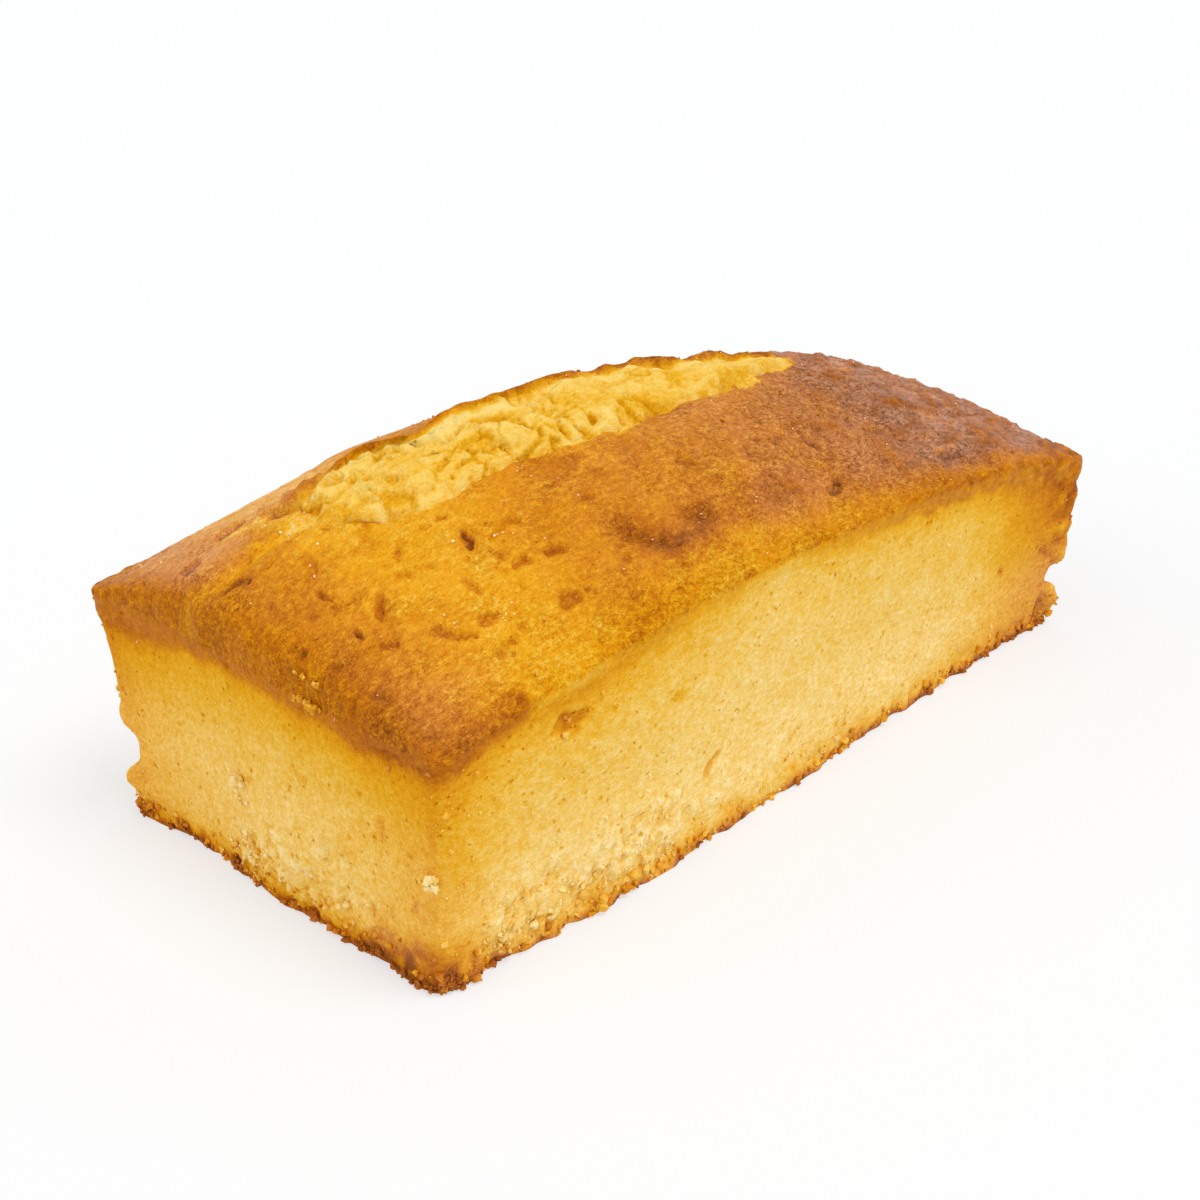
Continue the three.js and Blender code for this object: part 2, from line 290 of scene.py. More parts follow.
@dataclass(frozen=True)
class Mark:
    """A pit, crease, fold or fleck along a short path.

    Attributes:
        path: its corners in millimetres, in plan (x, y) or in space (x, y, z).
        radius: half width in millimetres.
        height: relief in millimetres; below 0 it is sunk.
        bake: how much browner (or, below 0, paler) it is.
        shine: how much glossier it is.
    """

    path: Path
    radius: float
    height: float = 0.0
    bake: float = 0.0
    shine: float = 0.0

    def weight(self, points: Array) -> Array:
        """exp(-(distance to the path / radius)^2) at each point."""
        return bell(distance_to_path(points, self.path), self.radius)

    def crisp(self, points: Array) -> Array:
        """1 within about the radius of the path, falling to 0 over a short way round it."""
        return ease(*FIRM_EDGE, distance_to_path(points, self.path) / self.radius)


# ---- Marks ----

# Marks of the part itself, on the top. The first two are the folds that run down the
# -X slope as yellow stripes.
TOP_MARKS = (
    Mark(((-94, 10), (-104, 14), (-114, 16), (-119, 20)), 2.2, -1.8, -0.16, 0.7),
    Mark(((-88, 15), (-95, 21), (-102, 30)), 2.0, -1.6, -0.12, 0.7),
    Mark(((-83, -3), (-76, -7), (-54, -9), (-32, -11)), 1.6, -1.3, 0.04),
    Mark(((-80, 3), (-68, 0), (-50, 1), (-34, -1)), 1.8, -1.1, 0.05),
    Mark(((-29, -15), (-34, -25)), 1.6, -0.8, 0.06),
    Mark(((-51, -37), (-45, -41)), 3.4, -2.2, 0.25, 1.0),  # the long dent
    Mark(((-33, -39), (-29, -40)), 3.2, -1.6, 0.18, 1.0),
    Mark(((-51, -43), (-42, -44.5), (-32, -43.5)), 2.0, 1.0, 0.12),
    Mark(((-81, -23), (-80, -19)), 1.6, -2.2, 0.06),  # the dimple of the steam hole
    Mark(((-103, -20), (-107, -27)), 1.8, -1.1, 0.05),
    Mark(((81, 8), (82, 8)), 2.0, 1.6, 0.10),
    Mark(((86, 7), (87, 7)), 1.8, 1.0, 0.10),
)

# Finer marks of the crust: pits, slits, flakes and stained patches.
CRUST_MARKS = (
    Mark(((-79.6, -18.6), (-79.8, -20), (-80.6, -21.4)), 0.62, -1.3, 0.60),  # the steam hole
    Mark(((-81, -23), (-80, -19)), 1.8, 0.0, -0.10),  # its dimple is painted paler: painted light that offsets its shade
    Mark(((-95.2, 23.3), (-93.8, 20.3), (-92.3, 12.1)), 1.1, -1.4, 0.28),  # folds of the -X shoulder
    Mark(((-93.5, 27), (-90, 22), (-88, 14)), 2.2, 1.3, 0.16),
    Mark(((-101, 30), (-99, 20), (-97, 12)), 2.0, 0.8, -0.10),
    Mark(((-101, 32.5), (-98.5, 31)), 1.5, -1.7, 0.28),
    Mark(((-97, 25.5), (-96, 24)), 1.1, 0.9, -0.1),
    Mark(((-114, 28), (-112, 28.4)), 1.3, -1.3, 0.25),
    Mark(((-115.3, 12.6), (-113.6, 11.1), (-112.4, 9)), 0.8, -1.2, 0.25),
    Mark(((-111.4, 1.2), (-110.8, 1.2)), 1.2, 1.0, -0.1),
    Mark(((-104, 1.5), (-104, -3.4), (-107, -7)), 0.9, -0.8, -0.02),
    Mark(((-91.4, -12.4), (-92.9, -14.1)), 0.6, -1.1, 0.14),
    Mark(((-118, -13.2), (-118, -13.8)), 0.7, -0.9, 0.22),
    Mark(((-112, -9.6), (-111.8, -10.4)), 0.9, -0.9, 0.1),
    Mark(((-91.2, -20), (-90.4, -20.8)), 0.8, -0.9, 0.12),
    Mark(((-98, -29), (-96.5, -35)), 3.6, 0.4, 0.1, 0.3),  # flake with a shadowed lower edge
    Mark(((-100.5, -31), (-98.5, -36), (-96, -38)), 0.72, -1.4, 0.14),
    Mark(((-92, -37), (-90, -37)), 1.4, -1.6, 0.16),
    Mark(((-75.5, -43), (-73, -43.5)), 1.4, -1.5, 0.2),
    Mark(((-71, -34), (-67, -34.5)), 0.88, -1.2, 0.22, 1.0),
    Mark(((-78.5, -32), (-76, -33)), 0.8, -1.4, 0.16),
    Mark(((-106, -14), (-104.5, -15.5), (-103, -15)), 0.72, -1.2, 0.05),
    Mark(((-107.5, -7), (-107.5, -10.5)), 0.64, -1.4, 0.14),
    Mark(((-110.4, -21.2), (-110.2, -23)), 0.48, -1.4, 0.28),
    Mark(((-108.5, -27), (-107.5, -28.5)), 1.2, -1.1, 0.12),
    Mark(((-104.5, -21), (-102, -18.5)), 0.72, -1.4, 0.12),
    Mark(((-95.5, -17), (-94.5, -19)), 0.88, -0.94, 0.06),
    Mark(((-107, -4), (-104, 0), (-103, 3)), 0.96, -0.94, 0.05),
    Mark(((-95, -8), (-92, -3)), 1.2, -0.94, 0.06),
    Mark(((-81.5, -13), (-80, -13.6)), 0.64, -1.1, 0.2, 0.6),
    Mark(((-77, -24), (-73, -23.6), (-70, -24.5)), 0.64, -0.81, 0.05, 1.0),
    Mark(((-95.5, -45), (-93, -43.5), (-90, -43.5)), 0.72, -0.94, 0.12),
    Mark(((-88.5, -27.5), (-88, -31)), 0.64, -1.1, 0.1),
    Mark(((-80, -26), (-79, -29)), 0.64, -0.94, 0.1),
    Mark(((-56, -15), (-52, -18)), 4.5, 0, 0.1, 0.5),
    Mark(((-46, -43), (-20, -42.5), (6, -41)), 4, 0.3, 0.1),
    Mark(((-27, -46.5), (-20, -47.5)), 2.2, 0, -0.14, 0.6),
    Mark(((-14, -33), (-8, -35)), 3, 0.3, -0.08),
    Mark(((10.5, -46.5), (15, -45)), 0.96, -1.5, 0.2),
    Mark(((27, -29), (29, -29.5)), 1.2, -1.2, 0.12),
    Mark(((16, -26.5), (20, -27.5)), 0.96, -1.2, -0.06),
    Mark(((20, -30), (20, -35)), 0.96, -1.2, 0.12),
    Mark(((33, -28), (35, -30), (34, -35)), 0.8, 0.5, -0.08),
    Mark(((58, -47.5), (62, -46), (66, -45.5)), 1, -2, 0.09),
    Mark(((60, -44), (69, -43)), 1.1, 0.8, -0.12),
    Mark(((64, -34), (67, -34)), 1.6, -1.2, 0.06),
    Mark(((80, -38.5), (84, -38)), 1.6, -1.1, 0.04),
    Mark(((96, -31), (100, -30.5)), 1.8, -1.1, 0.05),
    Mark(((68, -15), (78, -10)), 0.96, -0.54, -0.14),
    Mark(((-93.6, 8.5), (-92, 5), (-91, 1), (-90.2, -2.5)), 1.5, 0.9, 0.2),  # crust island at the tip
    Mark(((-89.5, 22), (-86.5, 20), (-84, 17.5)), 2.2, 1.3, 0.16),  # fold over the crumb
    Mark(((-85, 16.2), (-83.4, 14.2)), 0.9, -1.1, 0.2),
    Mark(((-72.5, 10.5), (-70.6, 8.4)), 1.1, -1.2, 0.24),
)

# Marks of the part itself on the walls, then finer ones, all in space.
WALL_MARKS = (
    Mark(((-119, 52, 25), (-119, 52, 23)), 2.6, 1.4),
    Mark(((-118, 51, 18), (-118, 51, 15)), 3.6, -2.8),
    Mark(((-118, 50, 10), (-118, 50, 9)), 2.6, 2.6),
    Mark(((119, -52, 36), (119, -51, 22)), 7.0, 2.0),
    Mark(((118, -50, 15), (118, -50, 13)), 3.2, -3.6),
    Mark(((118, -50, 10), (118, -50, 7.5)), 3.0, 3.0),
    Mark(((-105, -53, 0), (-99, -53, 0)), 4.0, -2.0),
    Mark(((-109, -53, 1), (-108, -53, 1)), 2.6, 2.6),
    Mark(((120, -54, 44), (120, -54, 42)), 6.0, 1.2),
    Mark(((-120, 54, 53), (-120, 54, 51)), 8.0, 1.2),
)
CRUMB_MARKS = (
    Mark(((-88, -54, 50), (-83, -54, 49)), 2.0, -1.1, 0.22),
    Mark(((-85, -54, 46.5), (-83, -54, 46)), 0.7, -0.6, 0.20),
    Mark(((-53, -54, 42), (-50, -54, 42)), 1.0, -0.2, 0.22),
    Mark(((-28.5, -53, 29.5), (-27.5, -53, 29.5)), 0.8, -0.2, 0.20),
    Mark(((-41, -53, 18.5), (-38.5, -53, 20), (-37, -53, 22)), 0.9, -1.0, 0.28),
    Mark(((-8, -52, 13), (-6.5, -52, 15)), 0.8, -0.6, 0.24),
    Mark(((-62, -53, 15.5), (-60, -53, 14)), 0.8, -0.5, 0.14),
    Mark(((-41, -52.5, 12.5), (-36, -52.5, 10)), 1.0, 0.7, -0.10),
    Mark(((34, -53, 51), (35, -53, 51)), 1.4, -0.2, 0.12),
    Mark(((84, -52, 26), (86, -52, 25)), 1.1, -0.7, 0.30),
    Mark(((106, -52, 25), (113, -52, 22)), 0.9, -0.7, 0.12),
    Mark(((-119, 12, 23.5), (-119, 9, 24)), 1.0, 1.0, -0.12),
    Mark(((-119, 8, 26), (-119, 4, 27)), 0.8, 0.0, 0.20),
    Mark(((-119, -49, 27), (-119, -50, 27)), 1.2, 1.0, -0.14),
    Mark(((-119, -37, 35), (-119, -36.5, 31)), 1.1, -0.2, 0.20),
    Mark(((-119, -45, 20), (-119, -44.5, 17.5)), 0.9, -0.2, 0.20),
    Mark(((-119, -54, 18), (-118, -54, 14)), 1.2, -0.2, 0.16),
    Mark(((-103, -53, 5), (-100, -53, 4.6)), 0.9, -1.2, 0.30),
    Mark(((-119, -14, 34), (-119, -10, 36)), 0.8, -0.3, 0.16),
    Mark(((-118, 15, 2), (-118, 13, 2)), 1.3, -1.2, 0.30),
    Mark(((-118, -5, 1.5), (-118, -6, 1)), 1.2, -1.0, 0.25),
    Mark(((-118, -11, 2.5), (-118, -13, 2)), 1.3, -1.2, 0.30),
)

# Where loose crumbs hang in clusters: golden ones at the -X rim, and larger ones at the foot.
RIM_CLUSTER = ((-119, -15.5, 56), (-119, -18, 55.5), (-119, -20, 55.5), (-118, -19, 57))
HANGING_CRUMBS = (
    (-119.9, -31.8, 1.9), (-119.8, -51, 9.9), (-118.8, -53.9, 11.3), (-113.7, -53.9, 3.3),
    (-110, -53.8, 1.5), (-120, -51, 27.9), (-120, 8.7, 25), (-120, 6, 2), (-105.5, -53.8, 2.5),
    (-96, -54, 5), (-76, -54, 3),
)

# Where tiny grains painted white make painted glints on the crust, in plan.
GLINT_PLACES = (
    (-96.4, -27.9), (-95.9, -32.4), (-98, -34), (-77, -21), (-75, -24), (-69, -33), (-52, -38),
    (-47, -41), (-30, -41), (-106, -27), (-102, -12), (-60, -16), (-88, -38), (-14, -42), (12, -30),
)


# ---- The split in the crust ----


@dataclass(frozen=True)
class Split:
    """The long split: a band of bare crumb between a -Y and a +Y edge of torn crust.

    Attributes:
        stations: (x, near edge y, far edge y).
        past, fade_in, fade_out: lengths over which the split fades at its tips.
        near_edge, far_edge: how far past each edge bare crumb sets in.
        relief, length, width: height and spacings of its slow lumps.
        groove, ridge: depth under the near edge, and crust that stands up along the crest.
    """

    stations: Path = (
        (-97, 8, 11), (-91, -3, 16.5), (-85.5, -6.8, 18), (-78, -10, 20), (-72, -11.2, 18.5),
        (-68.5, -11.7, 8.5), (-62, -12.5, 8), (-34, -14.5, 8), (-14, -13.5, 8), (2, -11, 8),
        (27, -8.5, 7.5), (43, -3, 7), (66, 3, 5),
    )
    waver: float = 1.1
    spacing: float = 7.0
    fine_waver: float = 0.6
    fine_spacing: float = 3.0
    past: float = 2.0
    fade_in: float = 10.0
    fade_out: float = 14.0
    near_edge: Band = (-0.4, 0.8)
    far_edge: Band = (0.6, -0.6)
    swell: float = 1.3
    relief: float = 1.5
    length: float = 8.0
    width: float = 4.8
    groove: float = 1.4
    groove_offset: float = 1.0
    ridge: float = 2.1
    ridge_waver: float = 1.4
    ridge_spacing: float = 6.0
    ridge_offset: float = 1.3
    ridge_width: float = 1.5

    def curve(self, column: int, x: Array) -> Array:
        """Smooth curve through a column of the stations, by cubic pieces.

        Each piece is a Hermite cubic whose end slopes are those between its neighbours.

        Args:
            column: 1 for the near edge or 2 for the far edge.
            x: places along the loaf.

        Returns:
            The edge's y at each x.
        """
        table = np.array(self.stations, float)
        knots, values = table[:, 0], table[:, column]
        slopes = np.empty(len(knots))
        slopes[1:-1] = (values[2:] - values[:-2]) / (knots[2:] - knots[:-2])
        slopes[0] = (values[1] - values[0]) / (knots[1] - knots[0])
        slopes[-1] = (values[-1] - values[-2]) / (knots[-1] - knots[-2])
        x = np.clip(x, knots[0], knots[-1])
        n = np.clip(np.searchsorted(knots, x) - 1, 0, len(knots) - 2)
        step = knots[n + 1] - knots[n]
        t = (x - knots[n]) / step
        rise = (1 + 2 * t) * (1 - t) ** 2 * values[n] + t * t * (3 - 2 * t) * values[n + 1]
        return rise + step * (t * (1 - t) ** 2 * slopes[n] - t * t * (1 - t) * slopes[n + 1])

    def edges(self, x: Array) -> tuple[Array, Array]:
        """Near and far edge of the split at x, with the waver of torn crust."""
        coarse = self.waver * noise(x / self.spacing, 3.5, 0.5)
        fine = self.fine_waver * noise(x / self.fine_spacing, 9.5, 0.5)
        return self.curve(1, x) + coarse + fine, self.curve(2, x)

    def strength(self, x: Array) -> Array:
        """1 along the split, easing to 0 past its two tips."""
        start, end = self.stations[0][0], self.stations[-1][0]
        rise = ease(start - self.past, start + self.fade_in, x)
        return rise * ease(end + self.past, end - self.fade_out, x)

    def inside(self, x: Array, y: Array) -> Array:
        """1 over the bare crumb and 0 over crust, easing over a millimetre at each edge."""
        near, far = self.edges(x)
        return ease(*self.near_edge, y - near) * ease(*self.far_edge, y - far)

    def height(self, x: Array, y: Array) -> Array:
        """Height that the split adds: a groove, then lumpy crumb, then the standing crust edge.

        The crumb is a half sine between the edges plus noise, less a bell at the near edge.
        The crust edge is a bell past the far edge, of uneven height.
        """
        near, far = self.edges(x)
        across = np.clip((y - near) / (far - near), 0, 1)
        swell = self.swell * np.sin(np.pi * across)
        groove = self.groove * bell(y - near - self.groove_offset, self.groove)
        lumps = self.relief * noise(x / self.length, y / self.width, 4.5)
        tall = self.ridge + self.ridge_waver * noise(x / self.ridge_spacing, 7.5, 1.5)
        ridge = tall * bell(y - far - self.ridge_offset, self.ridge_width)
        return self.strength(x) * (self.inside(x, y) * (swell - groove + lumps) + ridge)


# ---- The loaf's form ----


@dataclass(frozen=True)
class LoafForm:
    """The loaf's smooth form, in millimetres: a domed top on four slanting walls.

    Attributes:
        length, width: over the rim, where crust meets wall.
        end_taper, side_taper: how far each wall draws in down to the base.
        rim, rim_arch, rim_power, rim_fall, rim_tilt: height of the rim's corners, its rise
            at mid length, how that falls away, its drop along X and its rise across Y.
        crest, softness: the crest's offset to +Y, and the share of the half width it rounds.
        near_dome, far_dome, end_dome: powers p and q of the dome to -Y, to +Y and along X.
        foot_relief, foot_band: relief of the crumbly foot, and how high it reaches.
        belly, hollow: how far the -Y wall stands out at its base, and the -X wall is sunk.
    """

    length: float = 240.0
    width: float = 108.0
    end_taper: float = 1.8
    side_taper: float = 4.2
    corner: float = 2.8
    rim: float = 52.4
    rim_arch: float = 10.8
    rim_power: float = 2.2
    rim_fall: float = 4.4
    rim_tilt: float = 1.0
    rim_waver: float = 0.7
    rim_spacing: float = 17.0
    rise: float = 28.6
    crest: float = 7.0
    softness: float = 0.045
    near_dome: tuple[float, float] = (1.55, 0.82)
    far_dome: tuple[float, float] = (1.24, 0.858)
    end_dome: tuple[float, float] = (2.445, 0.275)
    crest_drifts: Terms = (Ramp(2.9, -50, -115), Ramp(5.3, 10, 110))
    crest_sinks: Terms = (Ramp(0.369, -70, 90), Ramp(0.257, -60, -110))
    end_rounding: Terms = (Ramp(0.16, -40, -118), Ramp(0.16, 40, 118))
    crust_relief: float = 0.45
    crust_spacing: float = 11.0
    fine_relief: float = 0.27
    fine_spacing: float = 5.0
    settle: float = 6.0
    wall_relief: float = 0.35
    wall_spacing: float = 14.0
    lip: float = 0.7
    lip_waver: float = 0.35
    lip_spacing: float = 8.0
    lip_depth: float = 3.5
    foot_relief: float = 1.3
    foot_spacing: float = 4.0
    foot_band: float = 6.0
    belly: Bump = Bump(3.4, -60, 80)
    belly_power: float = 8.0
    belly_band: Band = (-40.0, -48.0)
    hollow: Bump = Bump(2.6, 26, 17)
    hollow_band: Band = (-110.0, -117.0)
    split: Split = field(default_factory=Split)

    @property
    def half_length(self) -> float:
        """Half the length over the rim."""
        return self.length / 2

    @property
    def half_width(self) -> float:
        """Half the width over the rim."""
        return self.width / 2

    def from_rim(self, x: Array, y: Array) -> Array:
        """Distance in plan from the nearest wall's plane."""
        return np.minimum(self.half_length - np.abs(x), self.half_width - np.abs(y))

    def from_corner(self, x: Array, y: Array) -> Array:
        """Distance in plan from the nearest corner, along the walls."""
        return self.half_length - np.abs(x) + self.half_width - np.abs(y)

    def on_end(self, x: Array, y: Array) -> Array:
        """True where a short wall is nearer than a long one."""
        return self.half_length - np.abs(x) < self.half_width - np.abs(y)

    def rim_height(self, x: Array, y: Array) -> Array:
        """Height of the rim: an arch 1 - |u|^power along X, a tilt each way and a waver."""
        u = np.clip(x / self.half_length, -1, 1)
        arch = self.rim_arch * (1 - np.abs(u) ** self.rim_power)
        waver = self.rim_waver * noise(x / self.rim_spacing, y / self.rim_spacing, 2.5)
        tilt = self.rim_tilt / 2 * (y / self.half_width) - self.rim_fall / 2 * u
        return self.rim + arch + tilt + waver

    def dome_height(self, x: Array, y: Array) -> Array:
        """Height of the dome above the rim.

        The crest's rise times (1 - u^p)^q along X, times (1 - v^p)^q across, where v is the
        distance from the crest as a share of the way to the rim.
        """
        crest = self.crest + total(self.crest_drifts, x)
        far = y > crest
        power = np.where(far, self.far_dome[0], self.near_dome[0])
        power = power + total(self.end_rounding, x)
        fullness = np.where(far, self.far_dome[1], self.near_dome[1])
        half = np.where(far, self.half_width - crest, self.half_width + crest)
        v = np.clip(np.abs(y - crest) / half, 0, 1)
        soft = np.minimum(1, np.hypot(v, self.softness * (1 - v)))
        u = np.clip(np.abs(x) / self.half_length, 0, 1)
        rise = self.rise * (1 - u ** self.end_dome[0]) ** self.end_dome[1]
        for sink in self.crest_sinks:
            rise = rise * (1 - sink.at(x))
        return rise * (1 - soft ** power) ** fullness

    def top_height(self, x: Array, y: Array) -> Array:
        """Height of the top: rim, dome, split, slow crust relief and the part's marks."""
        crust = self.crust_relief * noise(x / self.crust_spacing, y / self.crust_spacing, 6.5)
        crust = crust + self.fine_relief * noise(x / self.fine_spacing, y / self.fine_spacing, 8.5)
        plan = np.stack([x.ravel(), y.ravel()], -1)
        marks = sum(mark.height * mark.weight(plan) for mark in TOP_MARKS).reshape(x.shape)
        settled = ease(0, self.settle, self.from_rim(x, y)) * (crust + marks)
        return self.rim_height(x, y) + self.dome_height(x, y) + self.split.height(x, y) + settled

    def round_corner(self, x: Array, y: Array) -> tuple[Array, Array]:
        """Moves places in a square corner onto the tin's round corner.

        With a and b the shares along the corner's two sides, the round place is at
        a sqrt(1 - b^2 / 2) and b sqrt(1 - a^2 / 2).
        """
        cx, cy = self.half_length - self.corner, self.half_width - self.corner
        a = np.clip((np.abs(x) - cx) / self.corner, 0, 1)
        b = np.clip((np.abs(y) - cy) / self.corner, 0, 1)
        within = (a > 0) & (b > 0)
        round_x = np.sign(x) * (cx + self.corner * a * np.sqrt(1 - b * b / 2))
        round_y = np.sign(y) * (cy + self.corner * b * np.sqrt(1 - a * a / 2))
        return np.where(within, round_x, x), np.where(within, round_y, y)

    def outward(self, x: Array, y: Array) -> tuple[Array, Array]:
        """Unit direction away from the loaf in plan, square to the nearest wall."""
        a = np.maximum(0, np.abs(x) - self.half_length + self.corner) * np.sign(x)
        b = np.maximum(0, np.abs(y) - self.half_width + self.corner) * np.sign(y)
        size = np.maximum(np.hypot(a, b), 1e-9)
        return a / size, b / size

    def wall_offset(self, x: Array, y: Array, z: Array, rim: Array) -> Array:
        """How far the wall stands out: belly, hollow, slow noise, ragged foot, lip and marks."""
        low = 1 - z / rim
        middle = (1 - np.abs(x / self.half_length) ** self.belly_power) * ease(*self.belly_band, y)
        belly = self.belly.at(x) * middle * low
        hollow = self.hollow.at(y) * ease(*self.hollow_band, x) * low
        w, f, s = self.wall_spacing, self.foot_spacing, self.lip_spacing
        slow = self.wall_relief * noise(x / w, y / w, z / w)
        crumble = self.foot_relief * noise(x / f, y / f, z / f) * np.exp(-z / self.foot_band)
        lip = (self.lip + self.lip_waver * noise(x / s, y / s, 5.5)) * bell(rim - z, self.lip_depth)
        space = np.stack([x.ravel(), y.ravel(), z.ravel()], -1)
        marks = sum(mark.height * mark.weight(space) for mark in WALL_MARKS).reshape(x.shape)
        return belly - hollow + slow + crumble + lip + marks

    def wall_points(self, x: Array, y: Array, level: Array) -> Array:
        """Points of the wall under rim places, at a share of the rim's height.

        Args:
            x, y: rim places in plan.
            level: 0 at the base to 1 at the rim.

        Returns:
            Places in space, with x, y and z on the last axis.
        """
        rim = self.rim_height(x, y)
        z = rim * level
        px = x * (1 - self.end_taper / self.half_length * (1 - level))
        py = y * (1 - self.side_taper / self.half_width * (1 - level))
        out_x, out_y = self.outward(x, y)
        shift = self.wall_offset(px, py, z, rim)
        return np.stack([px + out_x * shift, py + out_y * shift, z], -1)

    def top_points(self, x: Array, y: Array) -> Array:
        """Points of the top. The outermost few millimetres follow the lip outwards."""
        px, py = self.round_corner(x, y)
        rim = self.rim_height(px, py)
        inset = self.from_rim(x, y)
        out_x, out_y = self.outward(px, py)
        shift = self.wall_offset(px, py, rim, rim) * bell(inset, self.lip_depth)
        z = np.where(inset > 1e-9, self.top_height(px, py), rim)
        return np.stack([px + out_x * shift, py + out_y * shift, z], -1)


# ---- Browning ----

# Bake runs from 0, the palest crumb, to 1, nearly black. The painted sheen is given as reflected light.


@dataclass(frozen=True)
class Skin:
    """What each place of the surface is: arrays with one value for each vertex.

    Attributes:
        points: places in millimetres.
        plan: the place in plan, on a wall that of the rim above it.
        level: 0 at the base to 1 at the rim and over the top.
        top: True on the top.
    """

    points: Array
    plan: Array
    level: Array
    top: Array


@dataclass(frozen=True)
class Drape:
    """How far the crust reaches down the walls from the rim, in millimetres.

    Attributes:
        side, end, far: on the -Y wall, on the short walls and on the +Y wall.
        uneven, more_uneven: raggedness of its edge, and how much more there is to +X.
        edge, sharper: how far round its edge it thins out, and how much sooner to +X.
    """

    side: float = 3.0
    side_along: Terms = (Bump(-3.0, -19, 16), Ramp(1.4, 5, 25), Ramp(0.6, 50, 75), Ramp(1.6, 80, 100))
    end: float = 3.2
    end_across: Terms = (Ramp(3.2, 14, 36), Bump(1.6, -33, 8))
    far: float = 3.4
    uneven: Terms = (Waver(0.9, (6, 6), 21.5), Waver(0.6, (2.4, 2.4), 23.5))
    more_uneven: Ramp = Ramp(0.8, 10, 40)
    least: float = 0.2
    edge: Band = (-1.8, 2.2)
    sharper: Ramp = Ramp(1.0, 10, 40)

    def depth(self, form: LoafForm, plan: Array) -> Array:
        """How far it reaches down: a level of its own on each wall, plus noise."""
        x, y = plan.T
        side = self.side + total(self.side_along, x)
        end = self.end + total(self.end_across, y)
        level = np.where(form.on_end(x, y), end, np.where(y < 0, side, self.far))
        return np.maximum(self.least, level + (1 + self.more_uneven.at(x)) * total(self.uneven, x, y))

    def below(self, form: LoafForm, skin: Skin) -> Array:
        """How far each place is below the crust's edge; less than 0 above it."""
        rim = form.rim_height(*skin.plan.T)
        return rim - self.depth(form, skin.plan) - skin.points[:, 2]

    def bare(self, form: LoafForm, skin: Skin) -> Array:
        """1 on the bare crumb of the walls, easing to 0 at the crust's edge and on the top."""
        below = self.below(form, skin) * (1 + self.sharper.at(skin.plan[:, 0]))
        return np.where(skin.top, 0.0, ease(*self.edge, below))


@dataclass(frozen=True)
class CrustBrowning:
    """Bake of the top crust, in plan.

    Attributes:
        middle: bake of the crust's middle.
        golden, beside, hanging: how much paler it is by the -Y rim and beside the split, and
            the painted light where it hangs over the -Y rim, against the shade under the lip.
        rim, shoulder: how much browner the -X rim and the far -X shoulder are.
    """

    middle: float = 0.565
    along: Terms = (
        Ramp(-0.19, -114, -94), Ramp(0.17, -86, -60), Ramp(0.07, -50, 0), Ramp(0.08, 5, 34),
        Ramp(0.07, 34, 56), Ramp(0.03, 56, 90),
    )
    golden: Terms = (
        Ramp(0.05, -98, -88), Ramp(0.08, -60, -40), Ramp(-0.02, 20, 50), Ramp(0.05, 55, 75),
        Ramp(-0.08, 92, 114),
    )
    golden_band: Band = (-45.0, -51.5)
    rim: float = 0.10
    rim_across: Terms = (Ramp(-0.06, -28, -18), Ramp(0.03, 0, 16))
    rim_band: Band = (9.0, 2.0)
    corner: float = 0.68
    corner_share: float = 0.8
    corner_side: Band = (5.0, 1.0)
    corner_end: Band = (-94.0, -99.0)
    corner_waver: Waver = Waver(2.0, (2, 2), 3.5)
    beside: float = 0.03
    beside_along: Terms = (Ramp(0.05, 0, 20), Ramp(-0.05, 56, 74))
    beside_width: float = 8.0
    shoulder: float = 0.07
    shoulder_across: Band = (4.0, 18.0)
    shoulder_start: Band = (-112.0, -104.0)
    shoulder_end: Band = (-88.0, -98.0)
    patchy: float = 0.6
    patchy_along: Ramp = Ramp(1.4, 20, 70)
    patches: Terms = (Waver(0.03, (15, 11), 31.5), Waver(0.03, (5, 4), 33.5))
    # Painted light: paler where the crust hangs over the -Y rim, against the shade under the lip.
    painted_light_over_rim: float = 0.10
    hanging_below: Band = (-0.5, 2.0)
    hanging_along: Band = (-104.0, -92.0)

    def bake(self, form: LoafForm, skin: Skin) -> Array:
        """Ramps along X, a golden band by the -Y rim, brown rims and shoulder, and patches."""
        x, y = skin.plan.T
        bake = self.middle + total(self.along, x)
        bake = bake - total(self.golden, x) * ease(*self.golden_band, y)
        rim = self.rim + total(self.rim_across, y)
        bake = bake + rim * ease(*self.rim_band, x + form.half_length)
        corner = ease(*self.corner_side, y + form.half_width)
        corner = corner * ease(*self.corner_end, x + self.corner_waver.at(y, x))
        bake = mix(bake, self.corner, self.corner_share * corner)
        near, _ = form.split.edges(x)
        beside = self.beside + total(self.beside_along, x)
        bake = bake - beside * bell(near - y, self.beside_width) * (y < near)
        along = ease(*self.shoulder_start, x) * ease(*self.shoulder_end, x)
        bake = bake + self.shoulder * ease(*self.shoulder_across, y) * along
        bake = bake + (self.patchy + self.patchy_along.at(x)) * total(self.patches, x, y)
        # Painted light under the lip of the -Y rim.
        down = ease(*self.hanging_below, form.rim_height(x, y) - skin.points[:, 2])
        return bake - self.painted_light_over_rim * down * (y < 0) * ease(*self.hanging_along, x)


